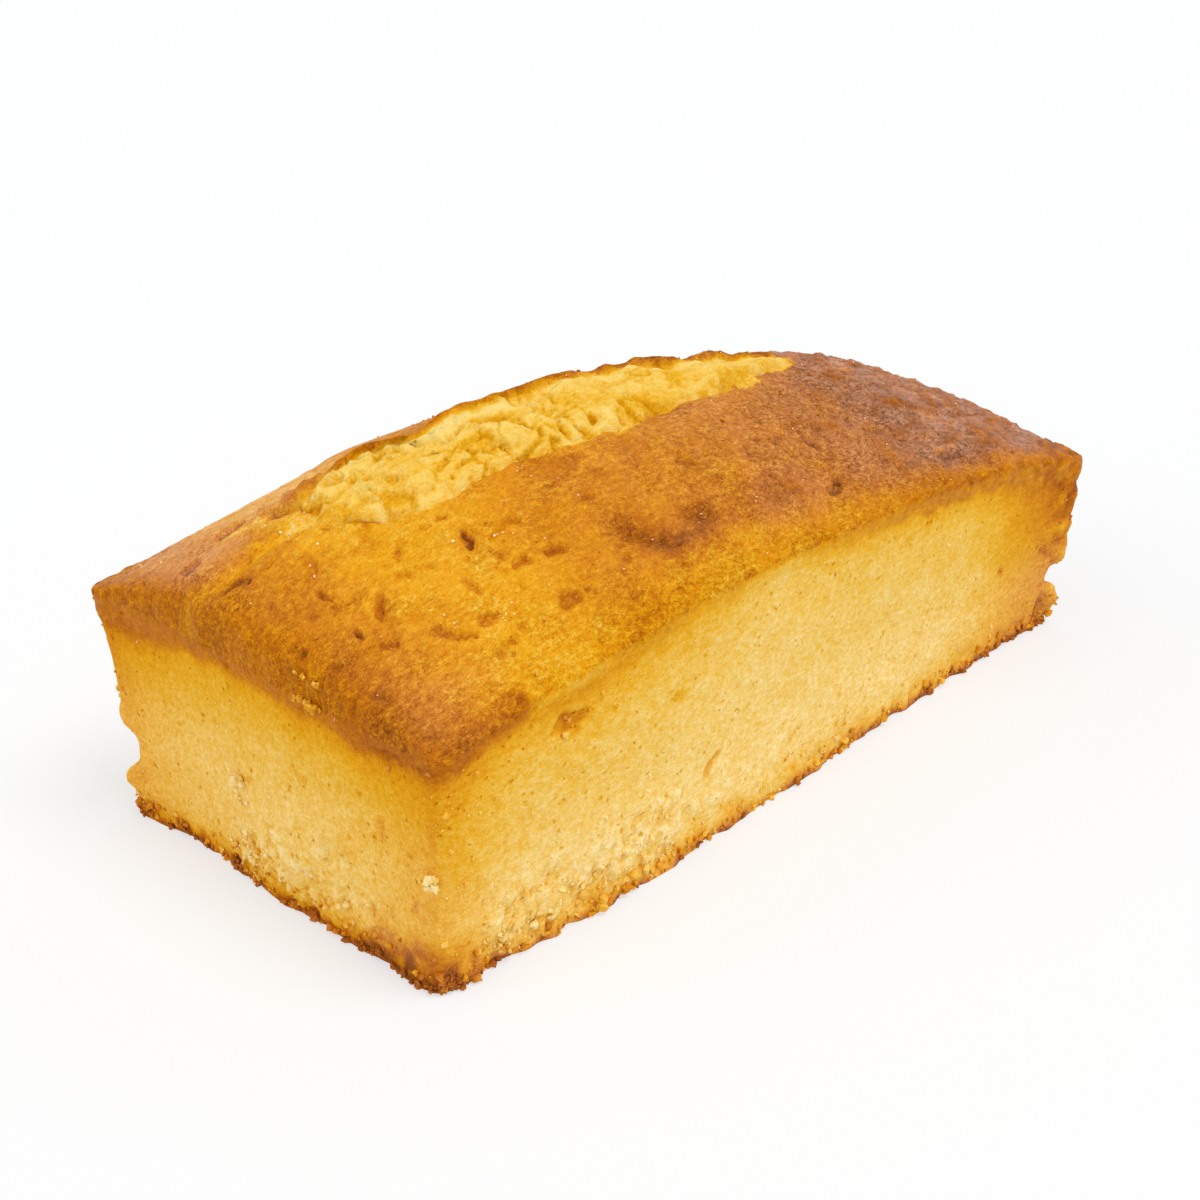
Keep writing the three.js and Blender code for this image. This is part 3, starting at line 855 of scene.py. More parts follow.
@dataclass(frozen=True)
class WallBrowning:
    """Bake of the bare walls, and where their skin has torn off.

    Attributes:
        side, end: bake of the long and the short walls' crumb.
        side_glow, end_glow: what it gains just under the crust's edge.
        near_corner, far_corner, right_corners: what it gains by distance from a corner.
        torn_side, torn_end, torn_patch: places of the torn skin on the -Y and -X walls.
    """

    side: float = 0.10
    end: float = 0.16
    side_glow: Terms = (Fade(0.14, 4), Fade(0.11, 16))
    end_glow: Terms = (Fade(0.17, 3.5), Fade(0.15, 14))
    glow_along: Terms = (Bump(-0.35, -19, 22), Bump(0.7, -82, 20))
    near_corner: Terms = (Bump(0.05, 0, 6), Bump(0.11, 0, 18))
    far_corner: Terms = (Bump(0.12, 0, 12), Bump(0.05, 0, 26))
    right_corners: Terms = (Ramp(0.34, 66, 2), Bump(0.06, 0, 6))
    foot: Terms = (Fade(0.44, 2), Fade(0.22, 4))
    near_foot: Ramp = Ramp(0.52, 15, 2)
    near_reach: float = 8.0
    near_end_reach: float = 20.0
    right_foot: Bump = Bump(0.35, 0, 20)
    foot_waver: Waver = Waver(0.7, (3, 3, 3), 40)
    slow: Terms = (Waver(0.02, (16, 16, 12), 50), Waver(0.018, (4.5, 4.5, 3.4), 55))
    torn_side: Band = (-46.0, -50.0)
    torn_start: Band = (-114.0, -106.0)
    torn_stop: Band = (-36.0, -66.0)
    torn_height: Band = (26.0, 12.0)
    torn_end: Band = (-112.0, -118.0)
    torn_near: Band = (-44.0, -36.0)
    torn_far: Band = (24.0, 8.0)
    torn_end_height: Band = (22.0, 10.0)
    torn_patch: Bump = Bump(1.0, -20, 9)
    torn_patch_height: Band = (30.0, 20.0)
    torn_least: Band = (1.5, 4.0)
    torn_waver: Waver = Waver(0.45, (5, 5, 5), 0)
    torn_loss: float = 0.15

    def bake(self, form: LoafForm, skin: Skin, drape: Drape) -> Array:
        """Pale crumb, a glow under the crust, and brown corners and foot."""
        x, y = skin.plan.T
        z = skin.points[:, 2]
        below = np.maximum(drape.below(form, skin), 0)
        on_end, left, near = form.on_end(x, y), x < 0, y < 0
        side = self.side + (1 + total(self.glow_along, x)) * total(self.side_glow, below)
        bake = np.where(on_end, self.end + total(self.end_glow, below), side)
        corner = form.from_corner(x, y)
        bake = bake + left * near * total(self.near_corner, corner)
        bake = bake + left * ~near * on_end * total(self.far_corner, corner)
        bake = bake + ~left * total(self.right_corners, corner)
        reach = np.where(on_end, self.near_end_reach, self.near_reach)
        foot = total(self.foot, z) + left * near * self.near_foot.at(z) * bell(corner, reach)
        foot = foot * (1 - ~left * self.right_foot.at(corner))
        return bake + foot * (1 + self.foot_waver.at(x, y, z)) + total(self.slow, x, y, z)

    def torn(self, skin: Skin) -> Array:
        """1 where the wall's skin has torn off and paler rough crumb shows, low down."""
        x, y = skin.plan.T
        z = skin.points[:, 2]
        side = ease(*self.torn_side, y) * ease(*self.torn_height, z)
        side = side * ease(*self.torn_start, x) * ease(*self.torn_stop, x)
        on_end = ease(*self.torn_end, x)
        end = on_end * ease(*self.torn_near, y) * ease(*self.torn_far, y)
        end = end * ease(*self.torn_end_height, z)
        patch = on_end * self.torn_patch.at(y) * ease(*self.torn_patch_height, z)
        found = np.maximum.reduce([side, end, patch]) * ease(*self.torn_least, z)
        ragged = found + self.torn_waver.at(x, y, z) - self.torn_loss
        return np.clip(ragged, 0, 1) * (found > 0.01)


@dataclass(frozen=True)
class SheenAndFlour:
    """Painted sheen on the crust, a grey that stands in for reflected light, and flour on dry crumb.

    Attributes:
        crust, far, far_left: painted sheen on the crust, on its +Y slope, and there towards -X.
        fall: depth below the rim over which it fades on the drape.
        side, end: flour on the long and the short walls.
    """

    # Painted sheen: grey added to the crust's colour as reflected light.
    crust: float = 0.008
    along: Terms = (
        Ramp(0.006, -65, -25), Ramp(0.015, -25, 10), Ramp(0.013, 10, 40), Ramp(0.019, 40, 62),
        Ramp(0.014, 62, 95),
    )
    far: float = 0.02
    far_across: Band = (10.0, 30.0)
    far_left: float = 0.035
    far_left_across: Band = (14.0, 34.0)
    far_left_along: Band = (20.0, -40.0)
    golden: float = 0.5
    golden_band: Band = (-44.0, -52.0)
    rim_band: Band = (0.5, 6.0)
    corner: float = 0.012
    corner_middle: tuple[float, float] = (-110.0, -45.0)
    corner_radius: float = 10.0
    patches: Terms = (Waver(0.4, (9, 7), 35.5), Waver(0.5, (4, 3), 37.5))
    right_patches: Waver = Waver(1.0, (5.5, 2.6), 39.5)
    right_along: Ramp = Ramp(1.2, 40, 75)
    fall: float = 2.0
    side: float = 0.008
    side_height: Bump = Bump(0.05, 15, 10)
    side_foot: Fade = Fade(0.04, 5)
    end: float = 0.004
    end_more: float = 0.045
    end_top: Band = (44.0, 24.0)
    end_foot: Band = (1.0, 9.0)
    corner_loss: Bump = Bump(0.7, 0, 8)
    corner_height: Band = (18.0, 8.0)

    def painted_sheen(self, form: LoafForm, skin: Skin) -> Array:
        """Painted sheen of the crust in plan, which fades below the rim."""
        x, y = skin.plan.T
        slope = self.far_left * ease(*self.far_left_across, y) * ease(*self.far_left_along, x)
        painted_sheen = self.crust + total(self.along, x) + (slope + self.far * ease(*self.far_across, y))
        painted_sheen = painted_sheen * (1 - self.golden * ease(*self.golden_band, y))
        painted_sheen = painted_sheen * ease(*self.rim_band, form.from_rim(x, y))
        middle_x, middle_y = self.corner_middle
        corner = bell(x - middle_x, self.corner_radius) * bell(y - middle_y, self.corner_radius)
        painted_sheen = painted_sheen + self.corner * corner
        patches = total(self.patches, x, y) + self.right_along.at(x) * self.right_patches.at(x, y)
        painted_sheen = painted_sheen * np.maximum(1 + patches, 0)
        below_rim = form.rim_height(x, y) - skin.points[:, 2]
        return np.where(skin.top, painted_sheen, painted_sheen * np.exp(-np.maximum(below_rim, 0) / self.fall))

    def flour(self, form: LoafForm, skin: Skin) -> Array:
        """Dry, floury paleness low on the walls."""
        x, y = skin.plan.T
        z = skin.points[:, 2]
        side = self.side + self.side_height.at(z) + self.side_foot.at(z)
        end = self.end + self.end_more * ease(*self.end_top, z) * ease(*self.end_foot, z)
        flour = np.where(form.on_end(x, y), end, side)
        lost = self.corner_loss.at(form.from_corner(x, y)) * ease(*self.corner_height, z)
        return flour * (1 - lost * (x < 0) * (y < 0))


# ---- Fine relief ----


@dataclass(frozen=True)
class CrustRelief:
    """Fine relief of the crust, in millimetres along the surface's normal.

    Attributes:
        plate, plates, plate_edge: height of one thin plate of skin, the noise whose whole
            steps are plates, and where in a step its edge is.
        pit_share: the seed values, from 0 to 1, over which a pit deepens.
        hole, fleck, flecks: depth of holes, height of flecks, and the noise of both.
        rough: strength of bumps, plates and pits.
    """

    bumps: Terms = (
        Waver(0.20, (4.6, 3.8, 4), 60), Waver(0.18, (2.8, 2.2, 2.2), 65),
        Waver(0.196, (2.1, 1.7, 1.9), 70),
    )
    plate: float = 0.45
    plates: Waver = Waver(2.6, (9, 5.5), 67.5)
    plate_bend: Bend = Bend(3.5, 2.4)
    plate_edge: Band = (0.72, 1.0)
    pit: float = 1.1
    pit_radius: float = 0.85
    pit_cells: Cells = Cells(4.6, salt=11)
    pit_bend: Bend = Bend(1.6, 0.9)
    pit_share: Band = (0.5, 0.95)
    hole: float = 0.65
    fleck: float = 0.4
    flecks: Waver = Waver(1.0, (3.0, 2.2, 2.6), 62.5)
    fleck_bend: Bend = Bend(2.4, 0.8)
    fleck_limits: Band = (0.50, 0.68)
    fleck_wider: Ramp = Ramp(0.4, 0, 70)
    fleck_gate: Waver = Waver(1.0, (12, 9), 63.5)
    fleck_gate_band: Band = (-0.3, 0.5)
    hole_bake: float = 0.07
    fleck_bake: float = -0.04
    rough: float = 0.6
    rough_along: Terms = (Ramp(1.2, 10, 70), Ramp(0.7, 92, 116))
    rim_rough: Bump = Bump(0.8, 0, 3)

    def skin(self, form: LoafForm, skin: Skin) -> Array:
        """Octaves of noise and thin plates with soft edges, less ragged pits."""
        points = skin.points
        px, py, _ = self.plate_bend.of(points).T
        slow = self.plates.at(px, py)
        step = np.floor(slow)
        plates = self.plate / self.plates.by * (step + ease(*self.plate_edge, slow - step) - slow)
        near, _, value = self.pit_cells.nearest(self.pit_bend.of(points))
        pits = self.pit * ease(*self.pit_share, value) * bell(near, self.pit_radius)
        x, y = skin.plan.T
        rough = self.rough + total(self.rough_along, x)
        rough = rough + self.rim_rough.at(form.from_rim(x, y)) * (x < 0)
        return rough * (total(self.bumps, *points.T) + plates - pits)

    def holes_and_flecks(self, points: Array) -> tuple[Array, Array]:
        """Ragged little holes and raised flecks, where a bent noise is near its extremes.

        Args:
            points: places in millimetres, one a row.

        Returns:
            The relief, and what it adds to the bake.
        """
        x, y, _ = points.T
        px, py, pz = self.fleck_bend.of(points).T
        wider = 1 + self.fleck_wider.at(x)
        field = self.flecks.at(px / wider, py / wider, pz)
        holes, raised = ease(*self.fleck_limits, field), ease(*self.fleck_limits, -field)
        gate = ease(*self.fleck_gate_band, self.fleck_gate.at(x, y))
        relief = gate * (self.fleck * raised - self.hole * holes)
        return relief, gate * (self.hole_bake * holes + self.fleck_bake * raised)


@dataclass(frozen=True)
class TornPieces:
    """Flat-topped pieces of torn crumb.

    Each cell of the scatter stands at a height of its own, with small lumps on it.
    Crevices follow the borders of the cells where a slow noise is high.

    Attributes:
        lumps, gap_gate: the small lumps and the slow noise, both spaced in cells.
        gap: half width of a crevice in millimetres, from full to none.
    """

    cells: Cells
    bends: tuple[Bend, ...] = (Bend(4.5, 1.5), Bend(2.0, 0.8))
    lumps: Terms = (Waver(0.09, (1 / 2.2,) * 3, 110), Waver(0.054, (1 / 1.3,) * 3, 115))
    gap: Band = (0.6, 0.1)
    gap_gate: Waver = Waver(1.0, (1, 1, 1), 95)
    gap_band: Band = (-0.3, 0.2)

    def of(self, points: Array) -> tuple[Array, Array]:
        """Works out the pieces.

        Args:
            points: places in millimetres, one a row.

        Returns:
            The relief in shares of a piece's height, and 0 to 1 in the crevices.
        """
        near, second, value = self.cells.nearest(bent(points, self.bends))
        place = points.T / self.cells.size
        gap = ease(*self.gap, second - near) * ease(*self.gap_band, self.gap_gate.at(*place))
        return value - 0.5 + total(self.lumps, *place), gap


@dataclass(frozen=True)
class CrumbRelief:
    """Fine relief of bare crumb, in millimetres along the surface's normal.

    Attributes:
        terrace, terraces, terrace_edge: height of its steps, the noise whose whole steps
            they are, and where in a step the edge is.
        line, line_width: noise whose zeros are narrow crevices, and their width as noise.
        stretch: how much longer the torn pieces at the -X end are along X.
        knob, large, small: height of rounded knobs, and the two noises that make them.
        clumps: (size, place in the noise) of the clumps at chipped corners.
    """

    bends: tuple[Bend, ...] = (Bend(4.5, 1.8), Bend(2.2, 0.7))
    terrace: float = 1.2
    terraces: Waver = Waver(2.6, (7.5, 3.2), 85.5)
    terrace_edge: Band = (0.6, 1.0)
    lumps: Terms = (Waver(0.35, (3.1, 2.3), 87.5), Waver(0.21, (2.0, 1.5), 89.5))
    line: Waver = Waver(1.0, (8.5, 3.4), 91.5)
    line_width: float = 0.12
    line_gate: Waver = Waver(1.0, (9, 5), 93.5)
    line_band: Band = (-0.15, 0.35)
    line_least: float = 0.35
    line_along: Ramp = Ramp(0.65, 30, -30)
    piece: float = 1.6
    pieces: TornPieces = TornPieces(Cells(5.6, salt=37))
    chip: float = 0.6
    chips: TornPieces = TornPieces(Cells(2.6, salt=71))
    stretch: float = 1.5
    torn_band: Band = (-8.0, -42.0)
    torn_waver: Waver = Waver(14.0, (12, 5), 97.5)
    knob: float = 1.3
    large: Waver = Waver(1.0, (4.4, 3.2), 84.5)
    small: Waver = Waver(1.0, (2.4, 2.1), 83.5)
    small_share: float = 0.6
    knob_level: float = 0.45
    crease: Band = (0.14, 0.02)
    crease_gate: Waver = Waver(1.0, (7, 5), 82.5)
    crease_band: Band = (-0.1, 0.4)
    crevice: float = 1.0
    gap_share: float = 0.5
    soft: Terms = (
        Waver(0.14, (2.8, 2.8, 3), 80), Waver(0.098, (2, 2, 2.2), 90), Waver(0.14, (5, 5, 6), 85),
    )
    flake: float = 1.25
    flakes: TornPieces = TornPieces(Cells(3.6, salt=53))
    flake_gap: float = 0.4
    clumps: tuple[tuple[float, float], ...] = ((3.6, 7.0), (2.2, 9.0))
    clump: float = 1.0

    def split(self, points: Array) -> tuple[Array, Array]:
        """Torn crumb in the split.

        Slow noise is cut into terraces with small lumps, and narrow crevices run where a
        bent noise, drawn out along X, is near zero. Towards -X the crumb is torn into
        pieces instead. Rounded knobs are the sizes of two noises, which crease at zero.

        Args:
            points: places in millimetres, one a row.

        Returns:
            The relief, and 0 to 1 in the crevices.
        """
        x, y, z = points.T
        px, py, _ = bent(points, self.bends).T
        slow = self.terraces.at(px, py)
        step = np.floor(slow)
        terraces = self.terrace / self.terraces.by * (step + ease(*self.terrace_edge, slow - step))
        flat = np.stack([x / self.stretch, y, 0 * z], -1)
        pieces, gap = self.pieces.of(flat)
        chips, _ = self.chips.of(flat)
        torn = ease(*self.torn_band, x + self.torn_waver.at(x, y))
        relief = mix(terraces + total(self.lumps, x, y), self.piece * pieces + self.chip * chips, torn)
        large = np.abs(self.large.at(px, py))
        knobs = large + self.small_share * np.abs(self.small.at(px, py)) - self.knob_level
        relief = relief + self.knob * (0.5 + 0.5 * torn) * knobs
        line = bell(self.line.at(px, py), self.line_width)
        line = line * ease(*self.line_band, self.line_gate.at(x, y))
        line = line * (self.line_least + self.line_along.at(x))
        crease = ease(*self.crease, large) * ease(*self.crease_band, self.crease_gate.at(x, y))
        crevice = np.maximum.reduce([line * (1 - torn), self.gap_share * gap * torn, crease * torn])
        return relief - self.crevice * crevice, crevice

    def wall(self, points: Array, torn: Array, clumpy: Array) -> tuple[Array, Array]:
        """Crumb of the walls: soft lumps, broken flakes where it is torn, and clumps.

        Args:
            points: places in millimetres, one a row.
            torn: 1 where the skin has torn off.
            clumpy: 1 where a corner is chipped.

        Returns:
            The relief, and 0 to 1 in the crevices between flakes.
        """
        flakes, gap = self.flakes.of(points)
        broken = self.flake * flakes - self.flake_gap * gap
        relief = mix(total(self.soft, *points.T), broken, torn)
        return relief + self.clump * clumpy * self.clumped(points), gap

    def clumped(self, points: Array) -> Array:
        """Two octaves of noise."""
        return sum(noise(*(points / size + salt).T) for size, salt in self.clumps)


@dataclass(frozen=True)
class Tear:
    """The torn edges of the split, in millimetres, and their bake.

    Attributes:
        run, step: length of a straight run of the near edge, and how far one is set back.
        face, lip: place of the standing crust edge's ochre inner face, and of its dark top.
        face_share, lip_share: how nearly face_bake and lip_bake are reached.
        lip_along_bake: what lip_bake gains along X.
    """

    ragged: Terms = (Waver(0.8, (2.1, 2.1), 73.5), Waver(0.5, (4.5, 4.5), 74.5))
    run: float = 11.0
    run_waver: Waver = Waver(0.9, (14, 1), 71.5)
    step: float = 1.3
    step_reach: float = 3.5
    far: float = 0.4
    far_reach: float = 2.5
    edge: Waver = Waver(0.6, (2.5, 1), 2.5)
    face: float = 0.3
    face_width: float = 0.6
    face_bake: float = 0.38
    face_share: float = 0.8
    face_waver: Waver = Waver(0.1, (3, 2), 78.5)
    lip: float = 1.5
    lip_width: float = 1.35
    lip_waver: Waver = Waver(0.45, (5, 1), 2.5)
    lip_bake: float = 0.76
    lip_along_bake: Ramp = Ramp(-0.10, -26, -46)
    lip_share: float = 0.9
    lip_colour: Waver = Waver(0.1, (3, 2), 79.5)
    lip_along: Band = (-93.0, -84.0)
    lip_relief: Terms = (Waver(0.3, (3.1, 2.4), 75.5), Waver(0.3, (7.5, 3), 76.5))

    def crumb(self, split: Split, skin: Skin) -> Array:
        """1 on the bare crumb of the split, easing to 0 at its torn edges and past its tips."""
        x, y = skin.plan.T
        near, far = split.edges(x)
        run = np.floor(x / self.run + self.run_waver.at(x, 6.5))
        set_back = self.step * lattice_value(run, run * 0, run * 0 + 3)
        torn_y = y + total(self.ragged, x, y) + set_back * bell(y - near, self.step_reach)
        torn_y = torn_y - self.far * bell(y - far, self.far_reach)
        return np.where(skin.top, split.inside(x, torn_y) * split.strength(x), 0.0)

    def past_edge(self, split: Split, skin: Skin) -> Array:
        """How far each place is past the ragged far edge."""
        x, y = skin.plan.T
        return y - (split.edges(x)[1] + self.edge.at(x, 11.5))

    def face_weight(self, split: Split, skin: Skin) -> Array:
        """1 on the inner face of the standing crust edge."""
        face = bell(self.past_edge(split, skin) - self.face, self.face_width)
        return np.where(skin.top, split.strength(skin.plan[:, 0]) * face, 0.0)

    def lip_weight(self, split: Split, skin: Skin) -> Array:
        """1 on the dark top of the standing crust edge."""
        x = skin.plan[:, 0]
        width = self.lip_width + self.lip_waver.at(x, 13.5)
        lip = split.strength(x) * bell(self.past_edge(split, skin) - self.lip, width)
        return np.where(skin.top, lip, 0.0) * ease(*self.lip_along, x)

    def browned(self, bake: Array, split: Split, skin: Skin) -> Array:
        """Bake with the ochre face and the dark lip laid over it."""
        x, y = skin.plan.T
        face = self.face_bake + self.face_waver.at(x, y)
        bake = mix(bake, face, self.face_share * self.face_weight(split, skin))
        lip = self.lip_bake + self.lip_along_bake.at(x) + self.lip_colour.at(x, y)
        return mix(bake, lip, self.lip_share * self.lip_weight(split, skin))


# ---- Meshes ----


def vertex_normals(points: Array, quads: Array) -> Array:
    """Unit normals: at each vertex the sum of the cross products of its faces' diagonals.

    Args:
        points: vertex places.
        quads: four vertex numbers a face, counter-clockwise from outside.

    Returns:
        One unit vector a vertex.
    """
    a, b, c, d = (points[quads[:, corner]] for corner in range(4))
    face = np.cross(c - a, d - b)
    vertex = quads.ravel()
    total_by_axis = [np.bincount(vertex, np.repeat(face[:, axis], 4), len(points)) for axis in range(3)]
    normal = np.stack(total_by_axis, -1)
    return normal / np.maximum(np.linalg.norm(normal, axis=1, keepdims=True), 1e-12)


def make_mesh(
    name: str, points: Array, faces: list[Array], attributes: dict[str, Array], smooth: bool = True
) -> bpy.types.Object:
    """Makes a mesh object from arrays, in millimetres.

    Args:
        name: the object's name.
        points: vertex places in millimetres.
        faces: arrays of vertex numbers, one face a row, each array with its own face size.
        attributes: vertex attributes by name, one number a vertex.
        smooth: whether its faces are shaded smooth.

    Returns:
        The object, linked into the scene.
    """
    sizes = np.concatenate([np.full(len(rows), rows.shape[1]) for rows in faces])
    corners = np.concatenate([rows.ravel() for rows in faces]).astype(np.int32)
    mesh = bpy.data.meshes.new(name)
    mesh.vertices.add(len(points))
    mesh.vertices.foreach_set("co", (points * MM).astype(np.float32).ravel())
    mesh.loops.add(len(corners))
    mesh.loops.foreach_set("vertex_index", corners)
    mesh.polygons.add(len(sizes))
    starts = np.concatenate([[0], np.cumsum(sizes)[:-1]])
    mesh.polygons.foreach_set("loop_start", starts.astype(np.int32))
    mesh.polygons.foreach_set("use_smooth", np.full(len(sizes), smooth))
    mesh.update(calc_edges=True)
    for key, values in attributes.items():
        layer = mesh.attributes.new(key, "FLOAT", "POINT")
        layer.data.foreach_set("value", values.astype(np.float32))
    thing = bpy.data.objects.new(name, mesh)
    bpy.context.scene.collection.objects.link(thing)
    return thing


# ---- The loaf ----


@dataclass(frozen=True)
class Zones:
    """What shows at each place, from 0 to 1: bare crumb, torn skin, lip, broken corners."""

    split: Array
    wall: Array
    torn: Array
    lip: Array
    chipped: Array

    @property
    def bare(self) -> Array:
        """Bare crumb of either kind."""
        return np.maximum(self.split, self.wall)


@dataclass(frozen=True)
class CrumbBrowning:
    """Bake of torn crumb, in the split and where the walls are broken, with painted shade in crevices
    and gaps.
    """

    split: float = 0.20
    split_waver: Waver = Waver(0.06, (5, 3), 77.5)
    # Painted shade in the split's crevices.
    crevice: float = 0.34
    # Painted light: paler crumb at the foot of the standing crust edge, against its shade.
    painted_light_by_far_edge: Bump = Bump(-0.17, -2.2, 2.2)
    torn: float = -0.02
    # Painted shade in the gaps between the walls' flakes.
    gap: float = 0.14
    clumps: float = -0.03
    chipped: float = -0.12

    def in_split(self, split: Split, skin: Skin, crevice: Array) -> Array:
        """Bake of the split's crumb: painted shade makes it browner in crevices, and painted light
        paler by the far edge, where the standing crust edge shades it.
        """
        x, y = skin.plan.T
        _, far = split.edges(x)
        uneven = self.split_waver.at(x, y) + self.painted_light_by_far_edge.at(y - far)
        return self.split + uneven + self.crevice * crevice

    def on_wall(self, zones: Zones, clumped: Array, gap: Array) -> Array:
        """What broken places add to the bake of the walls, with painted shade in the gaps between
        flakes.
        """
        torn = zones.torn * (self.torn + self.gap * gap + self.clumps * clumped)
        return zones.wall * (torn + self.chipped * zones.chipped * clumped)


@dataclass(frozen=True)
class ReliefShading:
    """Painted light and shade by relief: raised places are painted paler, as painted light, and hollows
    browner, as painted shade.

    Attributes:
        span: relief in millimetres that changes the bake fully.
    """

    span: float = 0.9
    crumb: float = 0.09
    split_low: float = 0.07
    split_high: float = -0.01
    crust: float = 0.05
    crust_along: Ramp = Ramp(0.11, 30, 75)

    def paler(self, relief: Array, skin: Skin, zones: Zones) -> Array:
        """How much paler each place is painted by its relief in millimetres: painted light on raised
        places, painted shade in hollows.
        """
        relief_shading = np.clip(relief / self.span, -1, 1)
        in_split = np.where(relief_shading < 0, self.split_low, self.split_high) * zones.split
        on_crust = self.crust + self.crust_along.at(skin.plan[:, 0])
        return relief_shading * np.where(zones.bare > 0.5, self.crumb + in_split, on_crust)


@dataclass(frozen=True)
class Grain:
    """Strength of the finest grain, which the material adds."""

    crust: float = 0.84
    along: Terms = (Ramp(0.24, -50, 0), Ramp(-0.46, 55, 90))
    rim: Bump = Bump(0.22, 0, 7)
    waver: Waver = Waver(0.5, (6, 4.5), 72.5)
    drape: float = 0.6
    split: float = 0.8
    wall: float = 0.62

    def strength(self, form: LoafForm, skin: Skin, bare: Array) -> Array:
        """The strength at each place."""
        x, y = skin.plan.T
        crust = self.crust + total(self.along, x)
        crust = crust + self.rim.at(form.from_rim(x, y)) * (x < 0)
        crust = np.where(skin.top, crust * (1 + self.waver.at(x, y)), self.drape)
        return mix(crust, np.where(skin.top, self.split, self.wall), bare)


@dataclass(frozen=True)
class Surface:
    """The finished surface, on which crumbs settle."""

    skin: Skin
    points: Array
    normals: Array
    attributes: dict[str, Array]


@dataclass(frozen=True)
class MarkStyle:
    """How a table of marks is laid on the surface.

    Attributes:
        in_space: True where they lie on the walls, in space, and False on the top, in plan.
        crisp: True for marks with a firm edge, False for soft ones.
    """

    marks: tuple[Mark, ...]
    in_space: bool
    crisp: bool
    relief: float
    bake: float
    bends: tuple[Bend, ...]


# The part's own marks are in its form already, so here they only add colour and shine.
OWN_BENDS = (Bend(4.0, 1.0), Bend(1.9, 0.7))
FINE_BENDS = (Bend(4.0, 0.3), Bend(1.9, 0.7))
MARKS = (
    MarkStyle(TOP_MARKS, in_space=False, crisp=False, relief=0.0, bake=1.0, bends=OWN_BENDS),
    MarkStyle(CRUST_MARKS, in_space=False, crisp=True, relief=0.8, bake=0.75, bends=FINE_BENDS),
    MarkStyle(WALL_MARKS, in_space=True, crisp=False, relief=0.0, bake=1.0, bends=OWN_BENDS),
    MarkStyle(CRUMB_MARKS, in_space=True, crisp=True, relief=0.8, bake=0.75, bends=FINE_BENDS),
)


